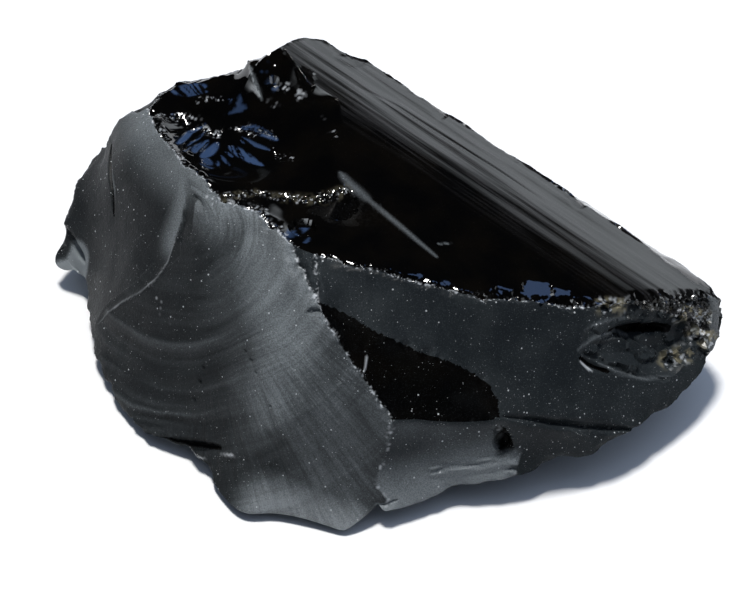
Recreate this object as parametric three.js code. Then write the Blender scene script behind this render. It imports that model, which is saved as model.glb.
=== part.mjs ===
// A palm-sized chunk of obsidian, black volcanic glass knapped by a few hard blows.
// It is one solid lump. Its skin is a patchwork of fracture facets that meet in ridges.
// Corners and ridges are placed by hand. Each facet is a thin sheet, stretched over its own
// ring of ridges and bent through a few points inside the ring, as a shell-like break bends.
// Millimetres. +X is the long way, from the broad end to the tapered end, and +Z is up.
import * as THREE from 'three';
import { mergeVertices } from 'three/addons/utils/BufferGeometryUtils.js';

// Driving dimensions
const LENGTH = 102.5; // along X, flake at the broad end to crust at the tapered end
const FINE = 1.5; // vertex spacing on the facets of the front and the top
const MEDIUM = 2.3; // vertex spacing on the facets of the back
const COARSE = 4.2; // vertex spacing underneath

// Shell fill
const CLEARANCE = 0.62; // least distance from a ridge to an inner vertex, in spacings
const RELAX_ROUNDS = 3; // rounds that even out the inner vertices
const MERGE_DISTANCE = 1e-4; // millimetres
const MOST_VERTICES = 100000; // more than any facet's net has
const FLIP_ROUNDS = 60; // far more than the nets need
const CIRCLE_MARGIN = 1e-9; // keeps four points on one circle from flipping for ever
const NEARLY_LEVEL = 0.9; // z of the normal of a facet that lies nearly level

const GLASS_BLACK = 0x0b0c0e;
const GLASS_ROUGHNESS = 0.22;

// The top sheet: straight along the far edge, and rising from it in a rounded shoulder
const farEdgeStart = new THREE.Vector3(-2, 29.8, 28.6);
const farEdgeEnd = new THREE.Vector3(50.6, -5.8, 15.2);
const SHOULDER_RISE = 3.3;
const SHOULDER_REACH = 9;
const TOP_SLOPE = 0.16;

// The front sheet: a steep, slightly domed sheet under the front ridge
const FRONT_HEIGHT = 51.3;
const FRONT_FALL = 1.316; // height lost for each millimetre towards the front
const FRONT_TAPER = -0.08; // height lost for each millimetre towards the tapered end
const FRONT_BOW = { xx: -0.0094, xy: -0.0039, yy: 0.0054 };

function onTop(x, y) {
  const edge = farEdgeEnd.clone().sub(farEdgeStart);
  const length = Math.hypot(edge.x, edge.y);
  const along = ((x - farEdgeStart.x) * edge.x + (y - farEdgeStart.y) * edge.y) / length;
  const inward = ((x - farEdgeStart.x) * edge.y - (y - farEdgeStart.y) * edge.x) / length;
  const shoulder = SHOULDER_RISE * (1 - Math.exp(-inward / SHOULDER_REACH));
  return [x, y, farEdgeStart.z + (edge.z * along) / length + TOP_SLOPE * inward + shoulder];
}

function onFront(x, y) {
  const bow = FRONT_BOW.xx * x * x + FRONT_BOW.xy * x * y + FRONT_BOW.yy * y * y;
  return [x, y, FRONT_HEIGHT + FRONT_TAPER * x + FRONT_FALL * y + bow];
}

// Corners, where three or more ridges meet
const corners = {
  shoulder: [-36.5, 22.5, 27.5],
  saddle: [-29.5, 5, 32.5],
  lipLeft: [-23, -3, 33.5],
  lipRight: onTop(-5.4, -0.4),
  fork: [-13, -11, 32.6],
  brow: [-9.6, -13.4, 33],
  heel: [-9.4, -18.6, 29],
  join: onTop(8.2, -16.8),
  peak: [-20.6, 27.4, 31.5],
  vee: [-19.6, 24.4, 32.6],
  stepEnd: [-18.2, 19.8, 30.3],
  rimTurn: onTop(-6.4, 18.2),
  crown: onTop(-15.2, 28),
  crownEnd: farEdgeStart.toArray(),
  ridgeEnd: onTop(48.2, -8),
  endTop: farEdgeEnd.toArray(),
  crustTop: onFront(45.4, -11.4),
  crustLow: onFront(46.4, -14),
  endLow: onFront(50, -13.2),
  keelTop: [1.5, -31.5, 17],
  keelFoot: [-0.5, -37, 3.5],
  nick: onFront(18, -29.6),
  nickFoot: [17, -33.5, 4.5],
  grooveEnd: onFront(37.4, -26.8),
  southTip: [-5.5, -40, 1],
  scarFoot: [-45.5, -4, 2],
  west: [-50, 13, 9.5],
  westFoot: [-47, 15, 3],
  backFootWest: [-38.5, 28.5, 2],
  backFootLeft: [-24, 35, 3],
  backFootRight: [3, 36, 3.5],
  backFootEast: [27, 19.5, 3.5],
  backKnotLeft: [-26.5, 32.5, 14],
  backKnotMid: [0.5, 35, 16],
  backKnotEast: [28.5, 19.5, 10.5],
  tail: [49.5, -5.5, 8.5],
  baseWest: [-38, 12, 0],
  baseScar: [-38, -4, 0],
  baseSouth: [-9, -32, 0],
  baseNick: [12, -24, 0],
  baseEnd: [25, -6, 0],
  baseBackRight: [6, 20, 0],
  baseBackLeft: [-19, 25, 0],
};

// Ridges, each from corner to corner through the points that its shape needs
const ridges = {
  // the long crest between the big scar on the left and the top
  crestLeft: ['shoulder', [-35, 17.5, 29], [-34, 14.5, 29.5], [-32, 10.5, 30.5], 'saddle'],
  crestMid: ['saddle', [-27, 2.5, 33], [-25, -1, 33.2], 'lipLeft'],
  crestRight: ['lipLeft', [-20.5, -4.5, 33.6], [-18.5, -5, 33.6], [-16.5, -7.5, 33.4], 'fork'],
  crestDrop: ['fork', [-12.6, -13, 32], [-11.5, -15.4, 31], [-10.6, -17, 30], 'heel'],
  crestFoot: [
    'heel', [-8.4, -21.2, 27.8], [-6.8, -22.8, 26.8], [-4.4, -25.4, 24.2],
    [-2.8, -27.2, 21.8], [-1.2, -28.8, 20], 'keelTop',
  ],
  keel: ['keelTop', [1.4, -32.2, 15.2], [0.5, -33.5, 12], [-0.5, -35, 8], 'keelFoot'],
  // the soft ridge that parts the big scar from the lobe above it
  lobeRidge: [
    'saddle', [-29.5, 0.5, 29.8], [-30.5, -4, 26], [-33.5, -4.5, 21.5],
    [-37.5, -5, 16.5], [-42.5, -3.5, 9], 'scarFoot',
  ],
  // the rim on the broad end, with a notch and a small flake
  westRim: [
    'shoulder', [-39, 22.5, 26], [-41, 22.5, 24], [-43.5, 21.5, 19.5],
    [-46, 20.5, 16], [-49, 17.5, 12.5], 'west',
  ],
  flakeRim: [
    'west', [-48.2, 10.4, 8], [-50.8, 11.6, 4.6], [-50.6, 9.4, 3.2], [-47.6, 7, 3.8],
    [-47, 4.5, 3.5], [-46, 0, 3], 'scarFoot',
  ],
  // the low scalloped rim of the big scar
  scarRim: [
    'scarFoot', [-44, -10, 2], [-42.5, -13, 1.5], [-40.5, -17, 1.5], [-36.5, -22.5, 1.5],
    [-34.5, -24, 1.5], [-30.5, -25.5, 1.5], [-28.5, -28, 1.5], [-26, -29.5, 1.5],
    [-24.5, -32.5, 1.5], [-20.5, -37, 1.5], [-16, -37, 1.5], [-11.5, -38, 1.5], 'southTip',
  ],
  southRim: ['southTip', [-3.5, -39, 2], 'keelFoot'],
  lowerLip: [
    'keelFoot', [1, -38.5, 3], [2.5, -37.5, 3], [5.5, -36.5, 3],
    [8.5, -35, 3.5], [11.5, -34, 4], 'nickFoot',
  ],
  stripRim: [
    'nickFoot', [20, -33, 5], [24, -31.5, 5.5], [26.5, -30.5, 6], [30.5, -30, 6],
    [33, -29, 6.5], 'grooveEnd',
  ],
  frontRim: [
    'grooveEnd', onFront(41.6, -23.6), onFront(45.2, -20.2), onFront(48, -16.8), 'endLow',
  ],
  // the black hollow under the front facet, and the facet below it
  hollowTop: [
    'heel', onFront(-7.2, -19.6), onFront(-3.4, -21.8), onFront(-1.6, -22.4),
    onFront(0.8, -21.9), onFront(3.2, -23), onFront(5.4, -24), onFront(8.6, -24.8),
    onFront(14.4, -26), onFront(16.4, -26.8), onFront(17, -28.4), 'nick',
  ],
  hollowFloor: ['keelTop', [5, -30.8, 16.2], [8.5, -30.4, 15.2], [13, -30, 14.6], 'nick'],
  nickEdge: ['nick', [18, -30.4, 11.6], [17.5, -31, 9], [17, -32, 7], 'nickFoot'],
  groove: [
    'nick', onFront(20.2, -29.6), onFront(23.2, -29.4), onFront(29.2, -29),
    onFront(32.4, -28.6), onFront(35.4, -27.6), 'grooveEnd',
  ],
  // the front ridge and what hangs from it
  browTop: ['fork', [-11.5, -12.4, 32.7], 'brow'],
  browDrop: ['brow', [-9.6, -16.4, 31], 'heel'],
  frontRidgeLeft: [
    'brow', [-6.8, -14.2, 32.8], [-4.6, -15, 32.5], [-0.2, -15.4, 31.8], [2.6, -16, 31.2],
    'join',
  ],
  frontRidgeRight: [
    'join', onTop(11.4, -17.2), onTop(14.4, -17.4), onTop(18, -16.6), onTop(24.6, -16),
    onTop(28.4, -15.6), onTop(32.2, -14.6), onTop(35.2, -13.6), onTop(41.4, -11.2), 'ridgeEnd',
  ],
  endShelf: ['ridgeEnd', [47, -9.6, 16.6], 'crustTop'],
  scoopRim: [
    'crustTop', onFront(41.6, -12.2), onFront(36.8, -13.6), onFront(32.2, -15),
    onFront(30.6, -16.6), onFront(29.2, -18.8), onFront(29.2, -20.4), onFront(31, -21),
    onFront(37.6, -20.4), onFront(42.8, -19), onFront(45.4, -16.6), 'crustLow',
  ],
  crustEdge: ['crustTop', [45.2, -12.4, 13.6], 'crustLow'],
  crustFoot: ['crustLow', onFront(48.4, -13.6), 'endLow'],
  endCap: ['ridgeEnd', [49.6, -7.4, 16], 'endTop'],
  endSide: ['endTop', [51.5, -7.5, 14.3], [51.5, -9, 12.5], [51, -11, 11], 'endLow'],
  // the step inside the top, and the seam that runs from it to the front ridge
  lip: [
    'lipLeft', [-21.5, -0.5, 32], [-19.5, 1, 31.5], [-15, 1.5, 31.2], [-9, -0.8, 32.2],
    'lipRight',
  ],
  streak: ['lipRight', onTop(-2.4, -1.2), onTop(2.6, -5.4), onTop(7, -9.6), 'join'],
  bowlSide: [
    'rimTurn', onTop(-5.8, 12.8), onTop(-7, 9.2), onTop(-7.2, 4.8), onTop(-6.2, 1.4),
    'lipRight',
  ],
  ledgeSide: ['crown', onTop(-12.4, 23.6), onTop(-9.4, 20), 'rimTurn'],
  // the small steps at the back of the top
  step: ['shoulder', [-32, 24, 26.8], [-28, 22.4, 28.2], [-23.2, 21, 29.3], 'stepEnd'],
  chute: ['vee', [-19.3, 22.8, 31.8], [-18.8, 21.5, 30.9], 'stepEnd'],
  ledge: ['stepEnd', [-14.8, 19.8, 31.2], [-11, 19, 31.8], 'rimTurn'],
  // the skyline
  crownLeft: [
    'shoulder', [-34.6, 24.4, 27.2], [-32, 27.2, 27], [-28.2, 27.5, 27.7],
    [-24.6, 28.1, 28.3], [-21.9, 27.9, 29.2], 'peak',
  ],
  crownNotch: ['peak', 'vee'],
  crownMid: ['vee', [-17.8, 26.2, 33.8], 'crown'],
  crownRight: ['crown', onTop(-13, 30.4), onTop(-9.6, 32.4), onTop(-5.4, 30.2), 'crownEnd'],
  farEdge: ['crownEnd', [11, 21.2, 25.4], [24.6, 12.2, 22], [38, 3.1, 18.5], 'endTop'],
  // the back
  westEdge: ['west', [-49, 14.5, 6], 'westFoot'],
  backRibWest: ['shoulder', [-37.6, 25.4, 22], [-37.2, 28, 14], [-39.5, 28.6, 7], 'backFootWest'],
  backRibLeft: ['peak', [-21.2, 29.2, 26.5], [-24.4, 31, 20], 'backKnotLeft'],
  backFallLeft: ['backKnotLeft', [-28, 34, 9], 'backFootLeft'],
  backRibRight: ['crownEnd', [-2.2, 32, 23.5], 'backKnotMid'],
  backFallRight: ['backKnotMid', [3.5, 36, 9.5], 'backFootRight'],
  backBench: ['backKnotLeft', [-20.5, 34.8, 11.5], [-12, 36.4, 11.5], [-5.5, 35.6, 14], 'backKnotMid'],
  backSweep: ['backKnotMid', [10, 32.5, 13.2], [20, 26.5, 10.6], 'backKnotEast'],
  backSlant: ['backKnotEast', [34.5, 12.5, 12.6], [42, 4.2, 14], [47.4, -1, 14.8], 'endTop'],
  backFallEast: ['backKnotEast', [29.5, 20, 7], 'backFootEast'],
  tailEdge: ['endTop', [51, -5.5, 12], 'tail'],
  backRimWest: ['westFoot', [-44.8, 19, 3.4], [-42.6, 22, 2], 'backFootWest'],
  backRimLeft: ['backFootWest', [-33.6, 30, 3.2], [-29.4, 33.6, 2], 'backFootLeft'],
  backRimMid: [
    'backFootLeft', [-18.6, 35.2, 2], [-13, 37.5, 2.4], [-6.5, 36, 4], [-1.5, 37, 3],
    'backFootRight',
  ],
  backRimRight: [
    'backFootRight', [8.5, 33, 2.2], [12.5, 31.2, 3.6], [19.5, 25.6, 2.2], 'backFootEast',
  ],
  backRimEast: ['backFootEast', [32, 14.2, 5], [38.4, 9.4, 4.4], [44, 2.2, 7], 'tail'],
  tailRim: ['tail', [50.5, -9, 8.8], 'endLow'],
  // underneath
  ribWest: ['westFoot', [-42.5, 13.5, 1], 'baseWest'],
  ribScar: ['scarFoot', [-41.5, -4, 0.5], 'baseScar'],
  ribSouth: ['southTip', [-7, -36, 0.5], 'baseSouth'],
  ribNick: ['nickFoot', [14.5, -29, 2], 'baseNick'],
  ribEnd: ['endLow', [38, -10, 5], 'baseEnd'],
  ribBackRight: ['backFootRight', [4.5, 28, 1], 'baseBackRight'],
  ribBackLeft: ['backFootLeft', [-21.5, 30, 1], 'baseBackLeft'],
  baseEdgeWest: ['baseWest', [-40.5, 7, 0], [-37.5, 1.5, 0], 'baseScar'],
  baseEdgeSouthWest: [
    'baseScar', [-34.5, -13, 0], [-30, -16.5, 0], [-24, -26, 0], [-17.5, -28, 0], 'baseSouth',
  ],
  baseEdgeSouth: ['baseSouth', [-3, -30, 0], [3.5, -31, 0], 'baseNick'],
  baseEdgeEast: ['baseNick', [16.5, -21.5, 0], [18.5, -14, 0], [24.5, -11.5, 0], 'baseEnd'],
  baseEdgeBack: ['baseEnd', [21.5, 2.5, 0], [19.5, 9.5, 0], [12, 13.5, 0], 'baseBackRight'],
  baseEdgeNorth: ['baseBackRight', [0, 25, 0], [-8, 23.5, 0], [-13, 27, 0], 'baseBackLeft'],
  baseEdgeNorthWest: ['baseBackLeft', [-26.5, 20.5, 0], [-33, 19.5, 0], 'baseWest'],
};

// Facets: the ridges around each, clockwise seen from outside, a minus meaning backwards,
// and the points inside that the sheet is bent through
const facets = {
  lobe: {
    around: ['crestLeft', 'lobeRidge', '-flakeRim', '-westRim'],
    through: [[-37.6, 14, 27.4], [-41.2, 13, 22], [-34.2, 3, 26.4], [-39, 4, 19.5], [-44.5, 8, 11.5]],
    spacing: FINE,
  },
  scar: {
    around: [
      'crestMid', 'crestRight', 'crestDrop', 'crestFoot', 'keel', '-southRim', '-scarRim',
      '-lobeRidge',
    ],
    through: [
      // the shallow band beside the crest
      [-27.5, -4.5, 29.6], [-18.6, -12.5, 30.2], [-15, -20.5, 26.6], [-9, -28, 21.4],
      // the steep middle
      [-32, -11, 18.5], [-23, -18, 20.5], [-19, -24.5, 17.5], [-12, -32, 12],
      // the foot, where it flares out again
      [-39.5, -10, 8], [-33, -17.5, 8.5], [-26.5, -24.5, 7], [-20, -31.5, 6],
    ],
    spacing: FINE,
  },
  shelf: {
    around: ['crownLeft', 'crownNotch', 'chute', '-step'],
    through: [[-29, 24.9, 28], [-23.6, 24.4, 29.2]],
    spacing: FINE,
  },
  corner: {
    around: ['crownMid', 'ledgeSide', '-ledge', '-chute'],
    through: [[-14.4, 22.4, 32.2]],
    spacing: FINE,
  },
  bowl: {
    around: ['step', 'ledge', 'bowlSide', '-lip', '-crestMid', '-crestLeft'],
    through: [[-29.6, 18.5, 26.6], [-21.6, 13.6, 27.8], [-12.4, 9.6, 29.8], [-25, 7, 29.4]],
    spacing: FINE,
  },
  underLip: {
    around: ['lip', 'streak', '-frontRidgeLeft', '-browTop', '-crestRight'],
    through: [[-14, -3.5, 31.2], [-6, -7.5, 31.5], [1, -11, 30.9]],
    spacing: FINE,
  },
  mainFace: {
    around: [
      'crownRight', 'farEdge', '-endCap', '-frontRidgeRight', '-streak', '-bowlSide',
      '-ledgeSide',
    ],
    through: [
      onTop(-6, 25), onTop(-1, 18), onTop(-1, 6), onTop(5, 12), onTop(9, 1), onTop(11, -9),
      onTop(15, 11), onTop(18, 2), onTop(21, -8), onTop(25, 5), onTop(29, -4), onTop(34, -7),
      onTop(37, 0), onTop(43, -5.5),
    ],
    spacing: FINE,
  },
  brow: {
    around: ['browTop', 'browDrop', '-crestDrop'],
    through: [],
    spacing: FINE,
  },
  hollow: {
    around: ['hollowTop', '-hollowFloor', '-crestFoot'],
    through: [[-4, -23.8, 24], [1.6, -25.6, 20], [10, -27.2, 16.6]],
    spacing: FINE,
  },
  frontFace: {
    around: [
      'frontRidgeLeft', 'frontRidgeRight', 'endShelf', 'scoopRim', 'crustFoot', '-frontRim',
      '-groove', '-hollowTop', '-browDrop',
    ],
    through: [
      onFront(-2, -18.5), onFront(7, -20), onFront(16, -21.5), onFront(25, -21.5),
      onFront(25, -26), onFront(36, -24),
    ],
    spacing: FINE,
  },
  scoop: {
    around: ['crustEdge', '-scoopRim'],
    through: [[36, -15.6, 16.6], [41.5, -14.8, 13]],
    spacing: FINE,
  },
  crust: {
    around: ['endCap', 'endSide', '-crustFoot', '-crustEdge', '-endShelf'],
    through: [],
    spacing: FINE,
  },
  lowFacet: {
    around: ['hollowFloor', 'nickEdge', '-lowerLip', '-keel'],
    through: [[8.5, -32.2, 9]],
    spacing: FINE,
  },
  strip: {
    around: ['groove', '-stripRim', '-nickEdge'],
    through: [[26, -29.4, 9]],
    spacing: FINE,
  },
  backWest: {
    around: ['westRim', 'westEdge', 'backRimWest', '-backRibWest'],
    through: [[-41.4, 22, 12]],
    spacing: MEDIUM,
  },
  backLeft: {
    around: [
      'backRibWest', 'backRimLeft', '-backFallLeft', '-backRibLeft', '-crownLeft',
    ],
    through: [[-30.5, 27.2, 20], [-32.5, 29, 10]],
    spacing: MEDIUM,
  },
  backMid: {
    around: [
      'backRibLeft', 'backBench', '-backRibRight', '-crownRight', '-crownMid', '-crownNotch',
    ],
    through: [[-12.5, 29.4, 22]],
    spacing: MEDIUM,
  },
  backMidLow: {
    around: ['backFallLeft', 'backRimMid', '-backFallRight', '-backBench'],
    through: [[-13, 35, 7]],
    spacing: MEDIUM,
  },
  backRight: {
    around: ['backRibRight', 'backSweep', 'backSlant', '-farEdge'],
    through: [[12, 24.2, 18], [24, 16.4, 15.4]],
    spacing: MEDIUM,
  },
  backRightLow: {
    around: ['backFallRight', 'backRimRight', '-backFallEast', '-backSweep'],
    through: [[14.5, 28.6, 7.2]],
    spacing: MEDIUM,
  },
  backEast: {
    around: ['backFallEast', 'backRimEast', '-tailEdge', '-backSlant'],
    through: [[37, 9, 9]],
    spacing: MEDIUM,
  },
  endBack: {
    around: ['tailEdge', 'tailRim', '-endSide'],
    through: [],
    spacing: MEDIUM,
  },
  underWest: {
    around: ['flakeRim', 'ribScar', '-baseEdgeWest', '-ribWest', '-westEdge'],
    through: [],
    spacing: COARSE,
  },
  underSouthWest: {
    around: ['scarRim', 'ribSouth', '-baseEdgeSouthWest', '-ribScar'],
    through: [],
    spacing: COARSE,
  },
  underSouth: {
    around: ['southRim', 'lowerLip', 'ribNick', '-baseEdgeSouth', '-ribSouth'],
    through: [],
    spacing: COARSE,
  },
  underEast: {
    around: ['stripRim', 'frontRim', 'ribEnd', '-baseEdgeEast', '-ribNick'],
    through: [],
    spacing: COARSE,
  },
  underBack: {
    around: [
      '-tailRim', '-backRimEast', '-backRimRight', 'ribBackRight', '-baseEdgeBack', '-ribEnd',
    ],
    through: [],
    spacing: COARSE,
  },
  underNorth: {
    around: ['-backRimMid', 'ribBackLeft', '-baseEdgeNorth', '-ribBackRight'],
    through: [],
    spacing: COARSE,
  },
  underNorthWest: {
    around: [
      '-backRimLeft', '-backRimWest', 'ribWest', '-baseEdgeNorthWest', '-ribBackLeft',
    ],
    through: [],
    spacing: COARSE,
  },
  base: {
    around: [
      'baseEdgeWest', 'baseEdgeSouthWest', 'baseEdgeSouth', 'baseEdgeEast', 'baseEdgeBack',
      'baseEdgeNorth', 'baseEdgeNorthWest',
    ],
    through: [],
    spacing: COARSE,
  },
};

function place(point) {
  return new THREE.Vector3(...(typeof point === 'string' ? corners[point] : point));
}

// Every ridge is sampled once, at the finer spacing of the two facets that it parts, so that
// both facets share its vertices.
function ridgeSpacings() {
  const spacings = {};
  for (const facet of Object.values(facets)) {
    for (const entry of facet.around) {
      const name = entry.replace('-', '');
      spacings[name] = Math.min(spacings[name] ?? Infinity, facet.spacing);
    }
  }
  return spacings;
}

function sampleRidges() {
  const samples = {};
  for (const [name, spacing] of Object.entries(ridgeSpacings())) {
    const curve = new THREE.CatmullRomCurve3(ridges[name].map(place), false, 'centripetal');
    const steps = Math.max(1, Math.round(curve.getLength() / spacing));
    const points = curve.getSpacedPoints(steps);
    points[0] = place(ridges[name][0]);
    points[steps] = place(ridges[name].at(-1));
    samples[name] = points;
  }
  return samples;
}

// The closed ring of a facet's ridge vertices, counter-clockwise seen from outside
function facetRing(facet, samples) {
  const ring = [];
  for (const entry of facet.around) {
    const backwards = entry.startsWith('-');
    const points = samples[entry.replace('-', '')];
    const run = backwards ? [...points].reverse() : points;
    ring.push(...run.slice(0, -1));
  }
  return ring.reverse();
}

// The plane that fits a ring, by Newell's method
function ringPlane(ring) {
  const normal = new THREE.Vector3();
  const middle = new THREE.Vector3();
  ring.forEach((point, i) => {
    normal.add(new THREE.Vector3().crossVectors(point, ring[(i + 1) % ring.length]));
    middle.add(point);
  });
  normal.normalize();
  middle.divideScalar(ring.length);
  const level = Math.abs(normal.z) > NEARLY_LEVEL;
  const helper = level ? new THREE.Vector3(0, 1, 0) : new THREE.Vector3(0, 0, 1);
  const across = new THREE.Vector3().crossVectors(helper, normal).normalize();
  const along = new THREE.Vector3().crossVectors(normal, across);
  return { normal, middle, across, along };
}

function toPlane(point, plane) {
  const offset = point.clone().sub(plane.middle);
  return { u: offset.dot(plane.across), v: offset.dot(plane.along), w: offset.dot(plane.normal) };
}

function fromPlane(u, v, w, plane) {
  return plane.middle.clone()
    .addScaledVector(plane.across, u)
    .addScaledVector(plane.along, v)
    .addScaledVector(plane.normal, w);
}

function turn(a, b, c) {
  return (b.u - a.u) * (c.v - a.v) - (b.v - a.v) * (c.u - a.u);
}

function segmentDistance(p, a, b) {
  const lengthSquared = (b.u - a.u) ** 2 + (b.v - a.v) ** 2;
  const along = ((p.u - a.u) * (b.u - a.u) + (p.v - a.v) * (b.v - a.v)) / lengthSquared;
  const t = Math.min(1, Math.max(0, along));
  return Math.hypot(p.u - a.u - t * (b.u - a.u), p.v - a.v - t * (b.v - a.v));
}

function insideRing(p, ring) {
  let inside = false;
  ring.forEach((a, i) => {
    const b = ring[(i + 1) % ring.length];
    const crosses = a.v > p.v !== b.v > p.v;
    if (crosses && p.u < a.u + ((p.v - a.v) / (b.v - a.v)) * (b.u - a.u)) inside = !inside;
  });
  return inside;
}

// True when d lies inside the circle through the counter-clockwise triangle a, b, c
function insideCircle(a, b, c, d) {
  const rows = [a, b, c].map((p) => {
    const u = p.u - d.u;
    const v = p.v - d.v;
    return [u, v, u * u + v * v];
  });
  const [p, q, r] = rows;
  const determinant =
    p[0] * (q[1] * r[2] - q[2] * r[1]) -
    p[1] * (q[0] * r[2] - q[2] * r[0]) +
    p[2] * (q[0] * r[1] - q[1] * r[0]);
  return determinant > CIRCLE_MARGIN;
}

// A flat triangle net that keeps the ring's edges and is Delaunay everywhere else
class Net {
  constructor(ring) {
    this.points = [...ring];
    this.ringSize = ring.length;
    this.triangles = [];
    this.owner = new Map();
    const contour = ring.map((p) => new THREE.Vector2(p.u, p.v));
    for (const [a, b, c] of THREE.ShapeUtils.triangulateShape(contour, [])) {
      const left = turn(ring[a], ring[b], ring[c]) > 0;
      this.set(this.triangles.length, left ? [a, b, c] : [a, c, b]);
    }
    this.flipAll();
  }

  key(a, b) {
    return a * MOST_VERTICES + b;
  }

  set(index, triangle) {
    this.triangles[index] = triangle;
    triangle.forEach((a, i) => this.owner.set(this.key(a, triangle[(i + 1) % 3]), index));
  }

  isRidge(a, b) {
    const gap = Math.abs(a - b);
    return Math.max(a, b) < this.ringSize && (gap === 1 || gap === this.ringSize - 1);
  }

  flip(a, b) {
    if (this.isRidge(a, b)) return false;
    const first = this.owner.get(this.key(a, b));
    const second = this.owner.get(this.key(b, a));
    if (first === undefined || second === undefined) return false;
    const c = this.triangles[first].find((p) => p !== a && p !== b);
    const d = this.triangles[second].find((p) => p !== a && p !== b);
    const [pa, pb, pc, pd] = [a, b, c, d].map((i) => this.points[i]);
    if (!insideCircle(pa, pb, pc, pd)) return false;
    if (turn(pa, pd, pc) <= 0 || turn(pd, pb, pc) <= 0) return false;
    this.owner.delete(this.key(a, b));
    this.owner.delete(this.key(b, a));
    this.set(first, [a, d, c]);
    this.set(second, [d, b, c]);
    return true;
  }

  flipAll() {
    for (let round = 0; round < FLIP_ROUNDS; round += 1) {
      let flips = 0;
      for (let index = 0; index < this.triangles.length; index += 1) {
        for (let side = 0; side < 3; side += 1) {
          const triangle = this.triangles[index];
          if (this.flip(triangle[side], triangle[(side + 1) % 3])) flips += 1;
        }
      }
      if (flips === 0) return;
    }
  }

  add(point) {
    const host = this.triangles.findIndex(([a, b, c]) => {
      const [pa, pb, pc] = [a, b, c].map((i) => this.points[i]);
      return turn(pa, pb, point) > 0 && turn(pb, pc, point) > 0 && turn(pc, pa, point) > 0;
    });
    if (host < 0) return;
    const added = this.points.push(point) - 1;
    const [a, b, c] = this.triangles[host];
    const next = this.triangles.length;
    this.set(host, [a, b, added]);
    this.set(next, [b, c, added]);
    this.set(next + 1, [c, a, added]);
    const outer = [[a, b], [b, c], [c, a]];
    while (outer.length > 0) {
      const [p, q] = outer.pop();
      const across = this.triangles[this.owner.get(this.key(q, p)) ?? -1];
      if (across === undefined) continue;
      const far = across.find((i) => i !== p && i !== q);
      if (this.flip(p, q)) outer.push([p, far], [far, q]);
    }
  }

  // Moves every inner vertex to the middle of its neighbours
  relax() {
    const sums = this.points.map(() => ({ u: 0, v: 0, count: 0 }));
    for (const triangle of this.triangles) {
      triangle.forEach((a, i) => {
        const neighbour = this.points[triangle[(i + 1) % 3]];
        sums[a].u += neighbour.u;
        sums[a].v += neighbour.v;
        sums[a].count += 1;
      });
    }
    for (let i = this.ringSize; i < this.points.length; i += 1) {
      const { u, v, count } = sums[i];
      this.points[i] = { u: u / count, v: v / count };
    }
    this.flipAll();
  }
}

// A net over the ring, its inner vertices on a triangular grid
function fillRing(ring, spacing) {
  const net = new Net(ring);
  const us = ring.map((p) => p.u);
  const vs = ring.map((p) => p.v);
  const rowHeight = spacing * Math.sqrt(0.75);
  const rows = Math.ceil((Math.max(...vs) - Math.min(...vs)) / rowHeight);
  const columns = Math.ceil((Math.max(...us) - Math.min(...us)) / spacing) + 1;
  for (let row = 0; row <= rows; row += 1) {
    for (let column = 0; column <= columns; column += 1) {
      const u = Math.min(...us) + (column - (row % 2) / 2) * spacing;
      const v = Math.min(...vs) + row * rowHeight;
      const point = { u, v };
      const clear = ring.every(
        (a, i) => segmentDistance(point, a, ring[(i + 1) % ring.length]) > CLEARANCE * spacing,
      );
      if (clear && insideRing(point, ring)) net.add(point);
    }
  }
  for (let round = 0; round < RELAX_ROUNDS; round += 1) net.relax();
  return net;
}

// Solves a dense linear system in place, by Gaussian elimination with pivoting
function solve(matrix, values) {
  const size = values.length;
  for (let column = 0; column < size; column += 1) {
    let pivot = column;
    for (let row = column + 1; row < size; row += 1) {
      if (Math.abs(matrix[row][column]) > Math.abs(matrix[pivot][column])) pivot = row;
    }
    [matrix[column], matrix[pivot]] = [matrix[pivot], matrix[column]];
    [values[column], values[pivot]] = [values[pivot], values[column]];
    for (let row = column + 1; row < size; row += 1) {
      const factor = matrix[row][column] / matrix[column][column];
      if (factor === 0) continue;
      for (let k = column; k < size; k += 1) matrix[row][k] -= factor * matrix[column][k];
      values[row] -= factor * values[column];
    }
  }
  for (let row = size - 1; row >= 0; row -= 1) {
    for (let k = row + 1; k < size; k += 1) values[row] -= matrix[row][k] * values[k];
    values[row] /= matrix[row][row];
  }
  return values;
}

// The thin elastic sheet through the pins: the height at any place in the plane
function sheetThrough(pins) {
  const bend = (p, q) => {
    const squared = (p.u - q.u) ** 2 + (p.v - q.v) ** 2;
    return squared === 0 ? 0 : squared * Math.log(squared);
  };
  const count = pins.length;
  const matrix = pins.map((p) => [...pins.map((q) => bend(p, q)), 1, p.u, p.v]);
  matrix.push([...pins.map(() => 1), 0, 0, 0]);
  matrix.push([...pins.map((p) => p.u), 0, 0, 0]);
  matrix.push([...pins.map((p) => p.v), 0, 0, 0]);
  const weights = solve(matrix, [...pins.map((p) => p.w), 0, 0, 0]);
  return (spot) => pins.reduce(
    (height, pin, i) => height + weights[i] * bend(spot, pin),
    weights[count] + weights[count + 1] * spot.u + weights[count + 2] * spot.v,
  );
}

function facetTriangles(facet, samples) {
  const ring = facetRing(facet, samples);
  const plane = ringPlane(ring);
  const flatRing = ring.map((point) => toPlane(point, plane));
  const guides = facet.through.map((point) => toPlane(place(point), plane));
  const sheet = sheetThrough([...flatRing, ...guides]);
  const net = fillRing(flatRing, facet.spacing);
  const surface = net.points.map((p, i) => (
    i < ring.length ? ring[i] : fromPlane(p.u, p.v, sheet(p), plane)
  ));
  return net.triangles.map((triangle) => triangle.map((i) => surface[i]));
}

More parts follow.
